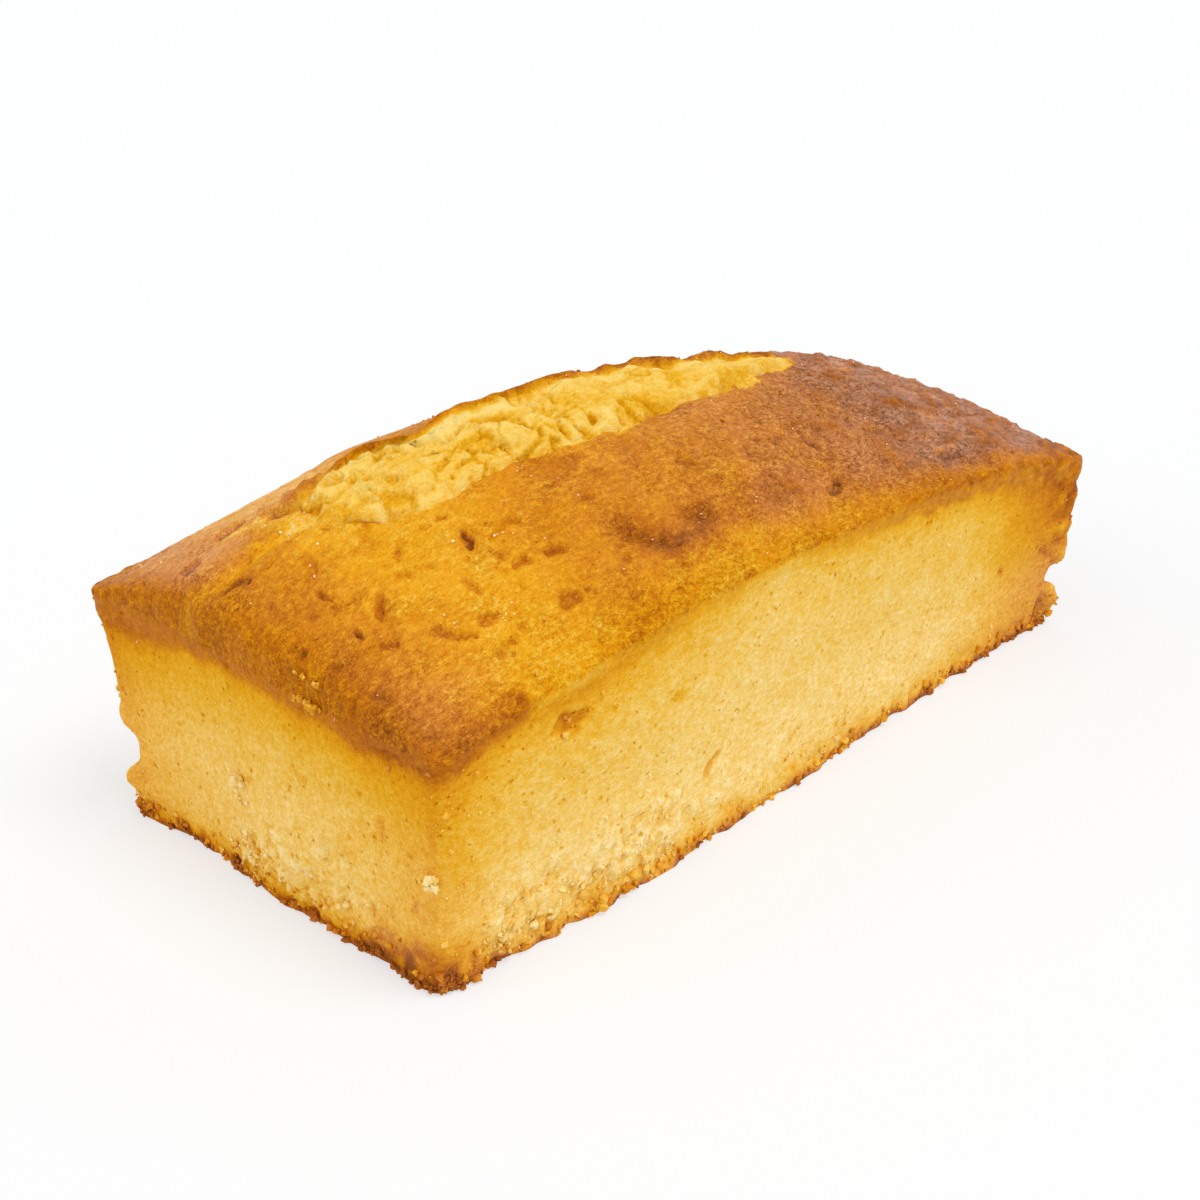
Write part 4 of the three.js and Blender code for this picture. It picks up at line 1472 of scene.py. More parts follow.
@dataclass
class Loaf:
    """The loaf: one closed surface of a top grid, wall rings and a flat base.

    Attributes:
        columns, crowding, end_crowding: cells along X, and how much closer they stand
            towards -X and at the ends.
        near_rows, crumb_rows, ridge_rows, far_rows: cells across, in four zones.
        edge_margin: a zone's row lies this far outside the split's edge.
        least_near, least_far: the split's zone reaches at least this far from its middle.
        greasy: the share of the painted sheen that a glossy mark removes.
        least_height: above the base's edge no place is lower.
    """

    form: LoafForm = field(default_factory=LoafForm)
    drape: Drape = field(default_factory=Drape)
    tear: Tear = field(default_factory=Tear)
    crust: CrustBrowning = field(default_factory=CrustBrowning)
    wall: WallBrowning = field(default_factory=WallBrowning)
    crumb: CrumbBrowning = field(default_factory=CrumbBrowning)
    relief_shading: ReliefShading = field(default_factory=ReliefShading)
    sheen_and_flour: SheenAndFlour = field(default_factory=SheenAndFlour)
    grain: Grain = field(default_factory=Grain)
    crust_relief: CrustRelief = field(default_factory=CrustRelief)
    crumb_relief: CrumbRelief = field(default_factory=CrumbRelief)
    columns: int = 296
    crowding: float = 0.17
    end_crowding: float = 0.05
    near_rows: int = 64
    crumb_rows: int = 32
    ridge_rows: int = 8
    far_rows: int = 44
    wall_rows: int = 60
    wall_crowding: float = 0.05
    ridge_span: float = 3.8
    edge_margin: float = 0.6
    least_near: float = 4.0
    least_far: float = 3.0
    chip_reach: float = 9.0
    chip_band: Band = (54.0, 47.0)
    torn_split: float = 0.8
    torn_paler: float = 0.03
    greasy: float = 0.8
    settle: float = 0.6
    least_height: float = 0.05
    darkest: float = 0.82

    def plan_grid(self) -> tuple[Array, Array]:
        """Plan places of the top grid: columns along X and rows that follow the split.

        With s from -1 to 1, x is the half length times s + a (s^2 - 1) + c s (1 - s^2).
        Rows run from the -Y rim to the near edge, over the crumb, over the standing crust
        edge and on to the +Y rim.
        """
        s = np.linspace(-1, 1, self.columns + 1)
        crowded = s + self.crowding * (s * s - 1) + self.end_crowding * s * (1 - s * s)
        x = self.form.half_length * crowded
        near, far = self.form.split.edges(x)
        middle = (near + far) / 2
        near = np.minimum(near - self.edge_margin, middle - self.least_near)[:, None]
        far = np.maximum(far - self.edge_margin, middle + self.least_far)[:, None]
        ridge_end = far + self.ridge_span
        side = self.form.half_width
        zones = (
            (-side, near, self.near_rows), (near, far, self.crumb_rows),
            (far, ridge_end, self.ridge_rows), (ridge_end, side, self.far_rows),
        )
        y = [mix(low, high, np.linspace(0, 1, count, endpoint=False)) for low, high, count in zones]
        y = np.concatenate([*y, np.full((len(x), 1), side)], axis=1)
        return np.repeat(x[:, None], y.shape[1], 1), y

    def rim_loop(self, rows: int) -> tuple[Array, Array]:
        """Column and row of each grid point on the rim, counter-clockwise from -X -Y."""
        columns = self.columns
        up, down = np.arange(columns), np.arange(columns, 0, -1)
        column = [up, np.full(rows, columns), down, np.zeros(rows)]
        row = [np.zeros(columns), np.arange(rows), np.full(columns, rows), np.arange(rows, 0, -1)]
        return np.concatenate(column).astype(int), np.concatenate(row).astype(int)

    def surface(self) -> tuple[Skin, Array, Array]:
        """The smooth surface before the fine relief.

        Returns:
            The skin, the quads, and the base's outline as vertex numbers.
        """
        x, y = self.plan_grid()
        top = self.form.top_points(x, y)
        number = np.arange(x.size).reshape(x.shape)
        over = np.stack([number[:-1, :-1], number[1:, :-1], number[1:, 1:], number[:-1, 1:]], -1)

        column, row = self.rim_loop(x.shape[1] - 1)
        rim_x, rim_y = self.form.round_corner(x[column, row], y[column, row])
        t = np.arange(self.wall_rows) / self.wall_rows
        level = (t - self.wall_crowding * np.sin(2 * np.pi * t))[:, None]
        rim_x, rim_y, level = np.broadcast_arrays(rim_x, rim_y, level)
        wall = self.form.wall_points(rim_x, rim_y, level)
        ring = np.arange(level.size).reshape(level.shape) + x.size
        ring = np.vstack([ring, number[column, row]])
        after = np.roll(ring, -1, axis=1)
        around = np.stack([ring[:-1], after[:-1], after[1:], ring[1:]], -1)

        skin = Skin(
            points=np.concatenate([top.reshape(-1, 3), wall.reshape(-1, 3)]),
            plan=np.stack([np.append(x, rim_x), np.append(y, rim_y)], -1),
            level=np.append(np.ones(x.size), level),
            top=np.arange(x.size + level.size) < x.size,
        )
        return skin, np.concatenate([over.reshape(-1, 4), around.reshape(-1, 4)]), ring[0]

    def zones(self, skin: Skin) -> Zones:
        """Works out which zone each place of the skin belongs to."""
        x, y = skin.plan.T
        wall = self.drape.bare(self.form, skin)
        corner = bell(self.form.from_corner(x, y), self.chip_reach) * (x > 0)
        return Zones(
            split=self.tear.crumb(self.form.split, skin),
            wall=wall,
            torn=self.wall.torn(skin) * wall,
            lip=self.tear.lip_weight(self.form.split, skin),
            chipped=corner * ease(*self.chip_band, skin.points[:, 2]),
        )

    def coloured(self, skin: Skin, zones: Zones, stain: Array, crevice: Array, gap: Array) -> Array:
        """Bake of every place, before its marks and before what its own relief changes.

        Args:
            skin: the smooth surface.
            zones: its zones.
            stain: what holes and flecks add on crust.
            crevice, gap: 0 to 1 in the crevices of the split and between the walls' flakes.

        Returns:
            The bake.
        """
        bake = self.crust.bake(self.form, skin)
        bake = mix(bake, self.wall.bake(self.form, skin, self.drape), zones.wall)
        crumb = self.crumb.in_split(self.form.split, skin, crevice)
        bake = mix(bake + stain * (1 - zones.bare), crumb, zones.split)
        bake = bake + self.crumb.on_wall(zones, self.crumb_relief.clumped(skin.points), gap)
        return self.tear.browned(bake, self.form.split, skin)

    def marked(self, skin: Skin) -> tuple[Array, Array, Array]:
        """What the marks add, as relief, bake and shine."""
        found = np.zeros((3, len(skin.points)))
        for style in MARKS:
            place = bent(skin.points if style.in_space else skin.plan, style.bends)
            where = ~skin.top if style.in_space else skin.top
            for mark in style.marks:
                weight = (mark.crisp if style.crisp else mark.weight)(place) * where
                own = np.array([style.relief * mark.height, style.bake * mark.bake, mark.shine])
                found += own[:, None] * weight
        return tuple(found)

    def finish(self, skin: Skin, normals: Array) -> tuple[Array, dict[str, Array]]:
        """Adds the fine relief and works out the vertex attributes.

        Args:
            skin: the smooth surface.
            normals: its unit normals.

        Returns:
            The finished places, and the attributes: bake, which also holds painted light and
            shade; bloom, the painted sheen of the crust and flour on the walls; bare for crumb
            against crust, shine, torn for broken crumb, moist for fresh crumb, and grainy for
            how strong the finest grain is.
        """
        x, y = skin.plan.T
        z = skin.points[:, 2]
        zones = self.zones(skin)
        bare = zones.bare
        split_relief, crevice = self.crumb_relief.split(skin.points)
        wall_relief, gap = self.crumb_relief.wall(skin.points, zones.torn, zones.chipped)
        flecks, stain = self.crust_relief.holes_and_flecks(skin.points)
        added, browner, shine = self.marked(skin)
        shine = np.clip(shine, 0, 1)

        relief = (1 - bare) * (self.crust_relief.skin(self.form, skin) + flecks)
        relief = relief + zones.split * split_relief + zones.wall * wall_relief
        relief = relief + zones.lip * total(self.tear.lip_relief, x, y) + added
        settled = np.where(skin.top, 1.0, np.clip(z / self.settle, 0, 1))
        points = skin.points + normals * (relief * settled)[:, None]
        points[:, 2] = np.where(skin.level > 0, np.maximum(points[:, 2], self.least_height), 0.0)

        # Painted sheen of the crust, as reflected light, and flour on the walls.
        sheen_and_flour = self.sheen_and_flour.painted_sheen(self.form, skin) * (1 - zones.lip) * (1 - bare)
        sheen_and_flour = sheen_and_flour + self.sheen_and_flour.flour(self.form, skin) * zones.wall
        bake = self.coloured(skin, zones, stain, crevice, gap) + browner
        # Painted light on raised places and painted shade in hollows, by relief.
        bake = bake - self.torn_paler * zones.torn - self.relief_shading.paler(relief, skin, zones)
        return points, {
            "bake": np.clip(bake, 0, self.darkest), "sheen_and_flour": sheen_and_flour * (1 - self.greasy * shine),
            "bare": bare, "shine": shine, "torn": zones.torn + self.torn_split * zones.split,
            "moist": zones.split, "grainy": self.grain.strength(self.form, skin, bare),
        }

    def build(self) -> tuple[bpy.types.Object, Surface]:
        """Builds the loaf's mesh, with its base's edge kept sharp.

        Returns:
            The object, and the surface that crumbs settle on.
        """
        skin, quads, outline = self.surface()
        points, attributes = self.finish(skin, vertex_normals(skin.points, quads))
        loaf = make_mesh("pound_cake", points, [quads, outline[::-1][None]], attributes)
        ends = np.empty(len(loaf.data.edges) * 2, np.int32)
        loaf.data.edges.foreach_get("vertices", ends)
        on_base = np.isin(ends.reshape(-1, 2), outline).all(axis=1)
        sharp = loaf.data.attributes.new("sharp_edge", "BOOLEAN", "EDGE")
        sharp.data.foreach_set("value", on_base)
        return loaf, Surface(skin, points, vertex_normals(points, quads), attributes)


# ---- Crumbs ----


@dataclass(frozen=True)
class Crumbs:
    """Crumbs of one kind that cling to the loaf, as one joined mesh.

    Attributes:
        size, sink: smallest and largest radius, and how deep a crumb sits, in radii.
        bake, tint: what it adds to the bake below it, and how far that strays.
        painted_sheen: how whitish it is, as reflected light: painted sheen, and on the glint grains
            painted glints.
        skew: power of the random draw of sizes, which makes small ones commoner.
        stretch, dents: limits of a crumb's stretch along its own axes, and of how far each
            of its corners is from its middle, in radii.
        buried_band: heights over the surface, in radii, where the painted shade of the sunk side sets
            in.
    """

    name: str
    count: int
    size: tuple[float, float]
    sink: float
    bake: float
    tint: float
    seed: int
    painted_sheen: float = 0.02
    skew: int = 3
    stretch: Band = (0.6, 1.5)
    dents: Band = (0.5, 1.25)
    buried_shade: float = 0.10
    buried_band: Band = (0.8, -0.1)
    darkest: float = 0.76

    def ball(self) -> tuple[Array, Array]:
        """An eight-sided ball once divided: unit vertices and triangles."""
        corners = [(1, 0, 0), (0, 1, 0), (-1, 0, 0), (0, -1, 0), (0, 0, 1), (0, 0, -1)]
        faces = [(n, (n + 1) % 4, 4) for n in range(4)] + [((n + 1) % 4, n, 5) for n in range(4)]
        points = [np.array(c, float) for c in corners]
        number, triangles = {}, []
        for face in faces:
            middles = []
            for a, b in zip(face, face[1:] + face[:1]):
                key = (min(a, b), max(a, b))
                if key not in number:
                    number[key] = len(points)
                    points.append((points[a] + points[b]) / np.sqrt(2))
                middles.append(number[key])
            ab, bc, ca = middles
            triangles += [(face[0], ab, ca), (ab, face[1], bc), (ca, bc, face[2]), (ab, bc, ca)]
        return np.array(points), np.array(triangles)

    def build(self, surface: Surface, weight: Array) -> bpy.types.Object:
        """Scatters the crumbs over the loaf's vertices and joins them.

        Each is a ball stretched by three random factors, turned at random and dented by a
        random share at each vertex.

        Args:
            surface: the loaf's finished surface.
            weight: how likely each of its vertices is to hold a crumb.

        Returns:
            The object.
        """
        rng = np.random.default_rng(self.seed)
        home = rng.choice(len(surface.points), self.count, p=weight / weight.sum())
        foot, normals = surface.points[home], surface.normals[home]
        ball, triangles = self.ball()
        radius = mix(*self.size, rng.random(self.count) ** self.skew)
        turn, _ = np.linalg.qr(rng.normal(size=(self.count, 3, 3)))
        turn = turn * np.sign(np.linalg.det(turn))[:, None, None]
        stretch = rng.uniform(*self.stretch, (self.count, 1, 3))
        dents = rng.uniform(*self.dents, (self.count, len(ball), 1))
        shape = (ball * dents * stretch) @ turn * radius[:, None, None]
        centre = foot + normals * (radius * (1 - self.sink))[:, None]
        places = (centre[:, None] + shape).reshape(-1, 3)
        places[:, 2] = np.maximum(places[:, 2], 0.0)
        faces = triangles + len(ball) * np.arange(self.count)[:, None, None]

        out = ((centre[:, None] + shape - foot[:, None]) * normals[:, None]).sum(-1)
        # Painted shade: the side of a crumb sunk in the surface is darker and loses its painted sheen.
        buried = ease(*self.buried_band, out / radius[:, None]).ravel()
        tint = np.repeat(self.bake + rng.normal(0, self.tint, self.count), len(ball))
        found = {key: np.repeat(values[home], len(ball)) for key, values in surface.attributes.items()}
        found["bake"] = np.clip(found["bake"] + tint + self.buried_shade * buried, 0, self.darkest)
        found["sheen_and_flour"] = self.painted_sheen * (1 - buried)
        found["bare"] = np.ones(len(tint))
        return make_mesh(self.name, places, [faces.reshape(-1, 3)], found, smooth=False)


@dataclass(frozen=True)
class Scatter:
    """All crumbs on the loaf, and where each kind clings.

    Attributes:
        low: height over which foot crumbs thin out.
        anywhere, on_torn: weight of a wall, and what a torn place gains.
    """

    wall: Crumbs = Crumbs("wall_crumbs", 420, (0.3, 0.9), 0.85, -0.10, 0.04, seed=5, painted_sheen=0.05)
    foot: Crumbs = Crumbs("foot_crumbs", 1700, (0.3, 1.0), 0.6, -0.02, 0.13, seed=6)
    crust: Crumbs = Crumbs("crust_crumbs", 120, (0.2, 0.5), 0.6, -0.10, 0.04, seed=7)
    # Tiny grains painted white: painted glints on the crust.
    glint_grains: Crumbs = Crumbs("painted_glint_grains", 150, (0.12, 0.32), 0.1, -0.20, 0.04, seed=10, painted_sheen=0.55)
    rim: Crumbs = Crumbs("rim_crumbs", 34, (0.4, 0.95), 0.2, -0.26, 0.05, seed=8)
    flakes: Crumbs = Crumbs("foot_flakes", 26, (0.7, 1.7), 0.3, -0.18, 0.07, seed=9)
    edge_reach: float = 7.0
    low: float = 2.0
    anywhere: float = 0.05
    on_torn: float = 2.0
    foot_edge: float = 2.0
    rim_reach: float = 1.6
    hanging_reach: float = 1.0
    glint_reach: float = 1.8
    plain_glints: float = 0.02

    def around(self, points: Array, places: Path, reach: float) -> Array:
        """Sum over some places of a bell of the distance to each."""
        return sum(bell(np.linalg.norm(points - place, axis=1), reach) for place in places)

    def build(self, form: LoafForm, surface: Surface) -> list[bpy.types.Object]:
        """Builds every kind of crumb in turn.

        Args:
            form: the loaf's form.
            surface: its finished surface.

        Returns:
            The objects.
        """
        skin, points, found = surface.skin, surface.points, surface.attributes
        on_wall = found["bare"] * ~skin.top * (skin.level > 0)
        on_crust = skin.top * (1 - found["bare"])
        edge = bell(form.from_corner(*skin.plan.T), self.edge_reach)
        near_glints = self.around(points[:, :2], GLINT_PLACES, self.glint_reach)
        kinds = (
            (self.wall, on_wall * (self.anywhere + self.on_torn * found["torn"] + edge)),
            (self.foot, on_wall * np.exp(-points[:, 2] / self.low) * (1 + self.foot_edge * edge)),
            (self.crust, on_crust),
            (self.glint_grains, on_crust * (near_glints + self.plain_glints)),
            (self.rim, self.around(points, RIM_CLUSTER, self.rim_reach)),
            (self.flakes, self.around(points, HANGING_CRUMBS, self.hanging_reach)),
        )
        return [crumbs.build(surface, weight) for crumbs, weight in kinds]


# ---- Finishes ----


class Node(Enum):
    """Shader nodes that the finishes are made of."""

    ATTRIBUTE = "ShaderNodeAttribute"
    BUMP = "ShaderNodeBump"
    CELLS = "ShaderNodeTexVoronoi"
    COLOUR_RAMP = "ShaderNodeValToRGB"
    COORDINATES = "ShaderNodeTexCoord"
    LIGHT_PATH = "ShaderNodeLightPath"
    MATH = "ShaderNodeMath"
    MIX = "ShaderNodeMix"
    NOISE = "ShaderNodeTexNoise"
    RANGE = "ShaderNodeMapRange"
    VECTOR_MATH = "ShaderNodeVectorMath"


def linear(code: str) -> tuple[float, float, float, float]:
    """Turns an sRGB hex colour such as "#e6a32d" to a linear one with alpha 1."""
    values = [int(code[n:n + 2], 16) / 255 for n in (1, 3, 5)]
    return (*(v / 12.92 if v <= 0.04045 else ((v + 0.055) / 1.055) ** 2.4 for v in values), 1.0)


def add_node(tree: Tree, kind: Node, settings: dict, links: dict, out: int | str = 0) -> Socket:
    """Adds a shader node and gives one of its outputs.

    Args:
        tree: the material's node tree.
        kind: which node.
        settings: values by socket name or number, or by the node's own property name.
        links: sockets to link from, by the name or number of the input that they feed.
        out: name or number of the output.

    Returns:
        The output socket.
    """
    node = tree.nodes.new(kind.value)
    for key, value in settings.items():
        if isinstance(key, str) and hasattr(node, key):
            setattr(node, key, value)
        else:
            node.inputs[key].default_value = value
    for key, socket in links.items():
        tree.links.new(socket, node.inputs[key])
    return node.outputs[out]


@dataclass(frozen=True)
class Spots:
    """Soft spots round the seeds of one scatter whose values lie between two limits.

    Attributes:
        cell, radius: spacing of the seeds and radius of a spot, in millimetres.
        core: the share of the radius within which a spot is full.
    """

    cell: float
    radius: float
    low: float
    high: float
    core: float = 0.4

    def add(self, tree: Tree, seeds: tuple[Socket, Socket]) -> Socket:
        """Adds the spots' nodes.

        Args:
            tree: the material's node tree.
            seeds: distance to the nearest seed in cells, and that seed's value.

        Returns:
            A socket that is 1 in a spot and 0 elsewhere.
        """
        distance, value = seeds
        reach = self.radius / self.cell
        fall = {"From Min": reach, "From Max": self.core * reach}
        spot = add_node(tree, Node.RANGE, fall, {"Value": distance})
        middle, half = (self.low + self.high) / 2, (self.high - self.low) / 2
        drawn = add_node(tree, Node.MATH, {"operation": "COMPARE", 1: middle, 2: half}, {0: value})
        return add_node(tree, Node.MATH, {"operation": "MULTIPLY"}, {0: spot, 1: drawn})


@dataclass(frozen=True)
class Layer:
    """What a pattern adds to the fine relief, in millimetres, and to the bake."""

    pattern: str
    where: str
    height: float = 0.0
    bake: float = 0.0


COARSE_MM, FINE_MM = 3.0, 1.6  # spacings of the two scatters of spots


@dataclass(frozen=True)
class CakeFinish:
    """Baked butter cake: matt porous crumb that browns to a thin crust with a faint sheen.

    Attributes:
        steps, fresh: (bake, colour) of the cake, and of the moist crumb in the split.
        mottle_mm, grain_mm, line_mm, bend_mm: real sizes of the slow browning, the grain,
            the swirls that skin wrinkles follow, and the noise that makes spots ragged.
        evenness: how strong each finer size of the grain is against the one before.
        drawn: how much closer together the grain is along each axis: it is longest along X.
        line_band, line_gate: limits of the level lines, and of the grain that breaks them.
        bleed, bleed_mm: how far each colour wanders in the crumb against red, and red's reach.
    """

    steps: Steps = (
        (0.00, "#f8dc98"), (0.10, "#f3cb6c"), (0.20, "#eebb42"), (0.30, "#e9aa18"),
        (0.40, "#e19a02"), (0.50, "#d58700"), (0.60, "#c67400"), (0.70, "#b46304"),
        (0.80, "#9c5408"), (0.90, "#80480e"), (1.00, "#552d0a"),
    )
    fresh: Steps = (
        (0.00, "#f4d680"), (0.10, "#f2ce6c"), (0.20, "#f0c458"), (0.35, "#e8ae26"),
        (0.55, "#d29000"), (0.80, "#a06206"),
    )
    mottle_mm: float = 9.0
    mottle_octaves: float = 2.0
    mottle_bake: float = 0.09
    grain_mm: float = 1.3
    octaves: float = 3.0
    evenness: float = 1.0
    grain_height: float = 0.7
    drawn: tuple[float, float, float] = (0.65, 1.0, 0.95)
    line_mm: float = 5.0
    line_octaves: float = 1.0
    lines: float = 8.0
    line_band: Band = (0.28, 0.5)
    line_gate: Band = (0.46, 0.56)
    bend_mm: float = 1.4
    bend_by: float = 1.6
    spots: tuple[tuple[str, Spots], ...] = (
        ("pit", Spots(COARSE_MM, 1.0, 0.0, 0.16)), ("clump", Spots(COARSE_MM, 1.7, 0.3, 1.0)),
        ("hollow", Spots(COARSE_MM, 1.1, 0.0, 0.14)), ("pin", Spots(FINE_MM, 0.45, 0.0, 0.12)),
        ("pore", Spots(FINE_MM, 0.5, 0.0, 0.22)), ("speck", Spots(FINE_MM, 0.45, 0.55, 0.80)),
        ("glint", Spots(FINE_MM, 0.28, 0.93, 1.0)),
    )
    # The bake that pores and hollows add is painted shade in them.
    layers: tuple[Layer, ...] = (
        Layer("lines", "crust", 0.08, -0.08), Layer("pit", "crust", -0.45, 0.08),
        Layer("pin", "crust", -0.18, 0.16), Layer("clump", "torn", 0.20, -0.05),
        Layer("pore", "dry", -0.20, 0.22), Layer("hollow", "dry", -0.25, 0.15),
        Layer("speck", "dry", 0.08, -0.08), Layer("glint", "crust", 0.10),
    )
    # Painted sheen: how much more of it where the crust is paler, and its least share.
    sheen_contrast: float = 5.0
    sheen_least: float = 0.1
    glint: float = 0.3
    crust_roughness: float = 0.42
    crumb_roughness: float = 0.85
    gloss: float = 0.25
    specular: float = 0.06
    ior: float = 1.45
    translucency: float = 0.12
    bleed: tuple[float, float, float] = (1.0, 0.5, 0.15)
    bleed_mm: float = 0.6

    def zones(self, tree: Tree) -> dict[str, Socket]:
        """Adds the vertex attributes, and from them crust and dry crumb."""
        names = ("bake", "sheen_and_flour", "bare", "shine", "torn", "moist", "grainy")
        found = {}
        for key in names:
            found[key] = add_node(tree, Node.ATTRIBUTE, {"attribute_name": key}, {}, "Fac")
        subtract = {"operation": "SUBTRACT"}
        found["crust"] = add_node(tree, Node.MATH, {**subtract, 0: 1.0}, {1: found["bare"]})
        found["dry"] = add_node(tree, Node.MATH, subtract, {0: found["bare"], 1: found["moist"]})
        return found

    def wrinkles(self, tree: Tree, ragged: Socket, grain: Socket) -> Socket:
        """Adds skin wrinkles: level lines of a swirling noise, broken off where grain is low."""
        swirl = {"Scale": 1 / (self.line_mm * MM), "Detail": self.line_octaves}
        lines = add_node(tree, Node.NOISE, swirl, {"Vector": ragged})
        lines = add_node(tree, Node.MATH, {"operation": "MULTIPLY", 1: self.lines}, {0: lines})
        lines = add_node(tree, Node.MATH, {"operation": "PINGPONG", 1: 0.5}, {0: lines})
        low, high = self.line_band
        lines = add_node(tree, Node.RANGE, {"From Min": low, "From Max": high}, {"Value": lines})
        low, high = self.line_gate
        gate = add_node(tree, Node.RANGE, {"From Min": low, "From Max": high}, {"Value": grain})
        return add_node(tree, Node.MATH, {"operation": "MULTIPLY"}, {0: lines, 1: gate})

    def patterns(self, tree: Tree, grainy: Socket) -> dict[str, Socket]:
        """Adds the patterns in object space.

        Args:
            tree: the material's node tree.
            grainy: how strong the grain is.

        Returns:
            Sockets by name: mottle and grain about 0, lines and the spots from 0 to 1.
        """
        place = add_node(tree, Node.COORDINATES, {}, {}, "Object")
        bend = {"Scale": 1 / (self.bend_mm * MM), "Detail": 0.0}
        wander = add_node(tree, Node.NOISE, bend, {"Vector": place}, 1)
        reach = {"operation": "MULTIPLY_ADD", 1: (self.bend_by * MM,) * 3}
        ragged = add_node(tree, Node.VECTOR_MATH, reach, {0: wander, 2: place})
        slow = {"Scale": 1 / (self.mottle_mm * MM), "Detail": self.mottle_octaves}
        mottle = add_node(tree, Node.NOISE, slow, {"Vector": place})
        along = add_node(tree, Node.VECTOR_MATH, {"operation": "MULTIPLY", 1: self.drawn}, {0: place})
        fine = {"Scale": 1 / (self.grain_mm * MM), "Detail": self.octaves, "Roughness": self.evenness}
        grain = add_node(tree, Node.NOISE, fine, {"Vector": along})

        found = {"lines": self.wrinkles(tree, ragged, grain)}
        for key, pattern in (("mottle", mottle), ("grain", grain)):
            found[key] = add_node(tree, Node.MATH, {"operation": "SUBTRACT", 1: 0.5}, {0: pattern})
        strength = {0: found["grain"], 1: grainy}
        found["grain"] = add_node(tree, Node.MATH, {"operation": "MULTIPLY"}, strength)
        seeds = {}
        for cell in (COARSE_MM, FINE_MM):
            value = add_node(tree, Node.CELLS, {"Scale": 1 / (cell * MM)}, {"Vector": ragged}, "Color")
            seeds[cell] = (value.node.outputs["Distance"], value)
        found.update((key, spots.add(tree, seeds[spots.cell])) for key, spots in self.spots)
        return found

    def layered(self, tree: Tree, start: Socket, found: dict[str, Socket], effect: str) -> Socket:
        """Adds to a socket what each layer's pattern does in its zone.

        Args:
            tree: the material's node tree.
            start: the socket to add to.
            found: zones and patterns by name.
            effect: "height" or "bake".

        Returns:
            The sum.
        """
        for layer in self.layers:
            by = getattr(layer, effect)
            if by:
                shown = {0: found[layer.pattern], 1: found[layer.where]}
                part = add_node(tree, Node.MATH, {"operation": "MULTIPLY"}, shown)
                adding = {"operation": "MULTIPLY_ADD", 1: by}
                start = add_node(tree, Node.MATH, adding, {0: part, 2: start})
        return start

    def bump(self, tree: Tree, found: dict[str, Socket]) -> Socket:
        """Adds the fine relief. Only the grain is common to crust and crumb."""
        grain = {0: found["grain"]}
        height = add_node(tree, Node.MATH, {"operation": "MULTIPLY", 1: self.grain_height}, grain)
        height = self.layered(tree, height, found, "height")
        return add_node(tree, Node.BUMP, {"Strength": 1.0, "Distance": MM}, {"Height": height})

    def colour(self, tree: Tree, found: dict[str, Socket]) -> Socket:
        """Adds the colour: bake through two rows of steps, then the painted sheen and the painted
        glints.

        Bake wanders more on crust; raised spots are paler, and pores and hollows are painted
        deeper, as painted shade. The painted sheen, a grey that stands in for reflected light,
        adds most where the crust is paler than around, and a painted glint a bright point.
        """
        bake = found["bake"]
        for pattern, share in (("mottle", self.mottle_bake), ("grain", -1.0)):
            step = {"operation": "MULTIPLY_ADD", 1: share}
            bake = add_node(tree, Node.MATH, step, {0: found[pattern], 2: bake})
        bake = self.layered(tree, bake, found, "bake")
        dry, moist = (self.ramp(tree, bake, steps) for steps in (self.steps, self.fresh))
        both = {0: found["moist"], 6: dry, 7: moist}
        baked = add_node(tree, Node.MIX, {"data_type": "RGBA"}, both, 2)

        # Painted sheen: grey that stands in for reflected light, strongest where the crust is paler.
        paler = add_node(tree, Node.MATH, {"operation": "SUBTRACT"}, {0: found["bake"], 1: bake})
        contrast = {"operation": "MULTIPLY_ADD", 1: self.sheen_contrast, 2: 1.0}
        paler = add_node(tree, Node.MATH, contrast, {0: paler})
        paler = add_node(tree, Node.MATH, {"operation": "MAXIMUM", 1: self.sheen_least}, {0: paler})
        painted_sheen = add_node(tree, Node.MATH, {"operation": "MULTIPLY"}, {0: found["sheen_and_flour"], 1: paler})
        # Painted glints: bright points added to the colour, not on moist crumb.
        still = {"operation": "SUBTRACT", "use_clamp": True}
        bright = add_node(tree, Node.MATH, still, {0: found["glint"], 1: found["moist"]})
        glinting = {"operation": "MULTIPLY_ADD", 1: self.glint}
        painted_sheen = add_node(tree, Node.MATH, glinting, {0: bright, 2: painted_sheen})
        return add_node(tree, Node.VECTOR_MATH, {"operation": "ADD"}, {0: baked, 1: painted_sheen})

    def ramp(self, tree: Tree, bake: Socket, steps: Steps) -> Socket:
        """Adds a ramp that turns the bake to colour, and gives its colour."""
        colour = add_node(tree, Node.COLOUR_RAMP, {}, {"Fac": bake}, "Color")
        stops = colour.node.color_ramp.elements
        while len(stops) < len(steps):
            stops.new(1.0)
        for stop, (position, code) in zip(stops, steps):
            stop.position = position
            stop.color = linear(code)
        return colour

    def roughness(self, tree: Tree, found: dict[str, Socket]) -> Socket:
        """Adds the roughness: crust is smoother than crumb, greasy spots and grains more so."""
        ends = {2: self.crust_roughness, 3: self.crumb_roughness}
        rough = add_node(tree, Node.MIX, ends, {0: found["bare"]})
        for pattern in ("shine", "glint"):
            step = {"operation": "MULTIPLY_ADD", 1: -self.gloss}
            rough = add_node(tree, Node.MATH, step, {0: found[pattern], 2: rough})
        return rough

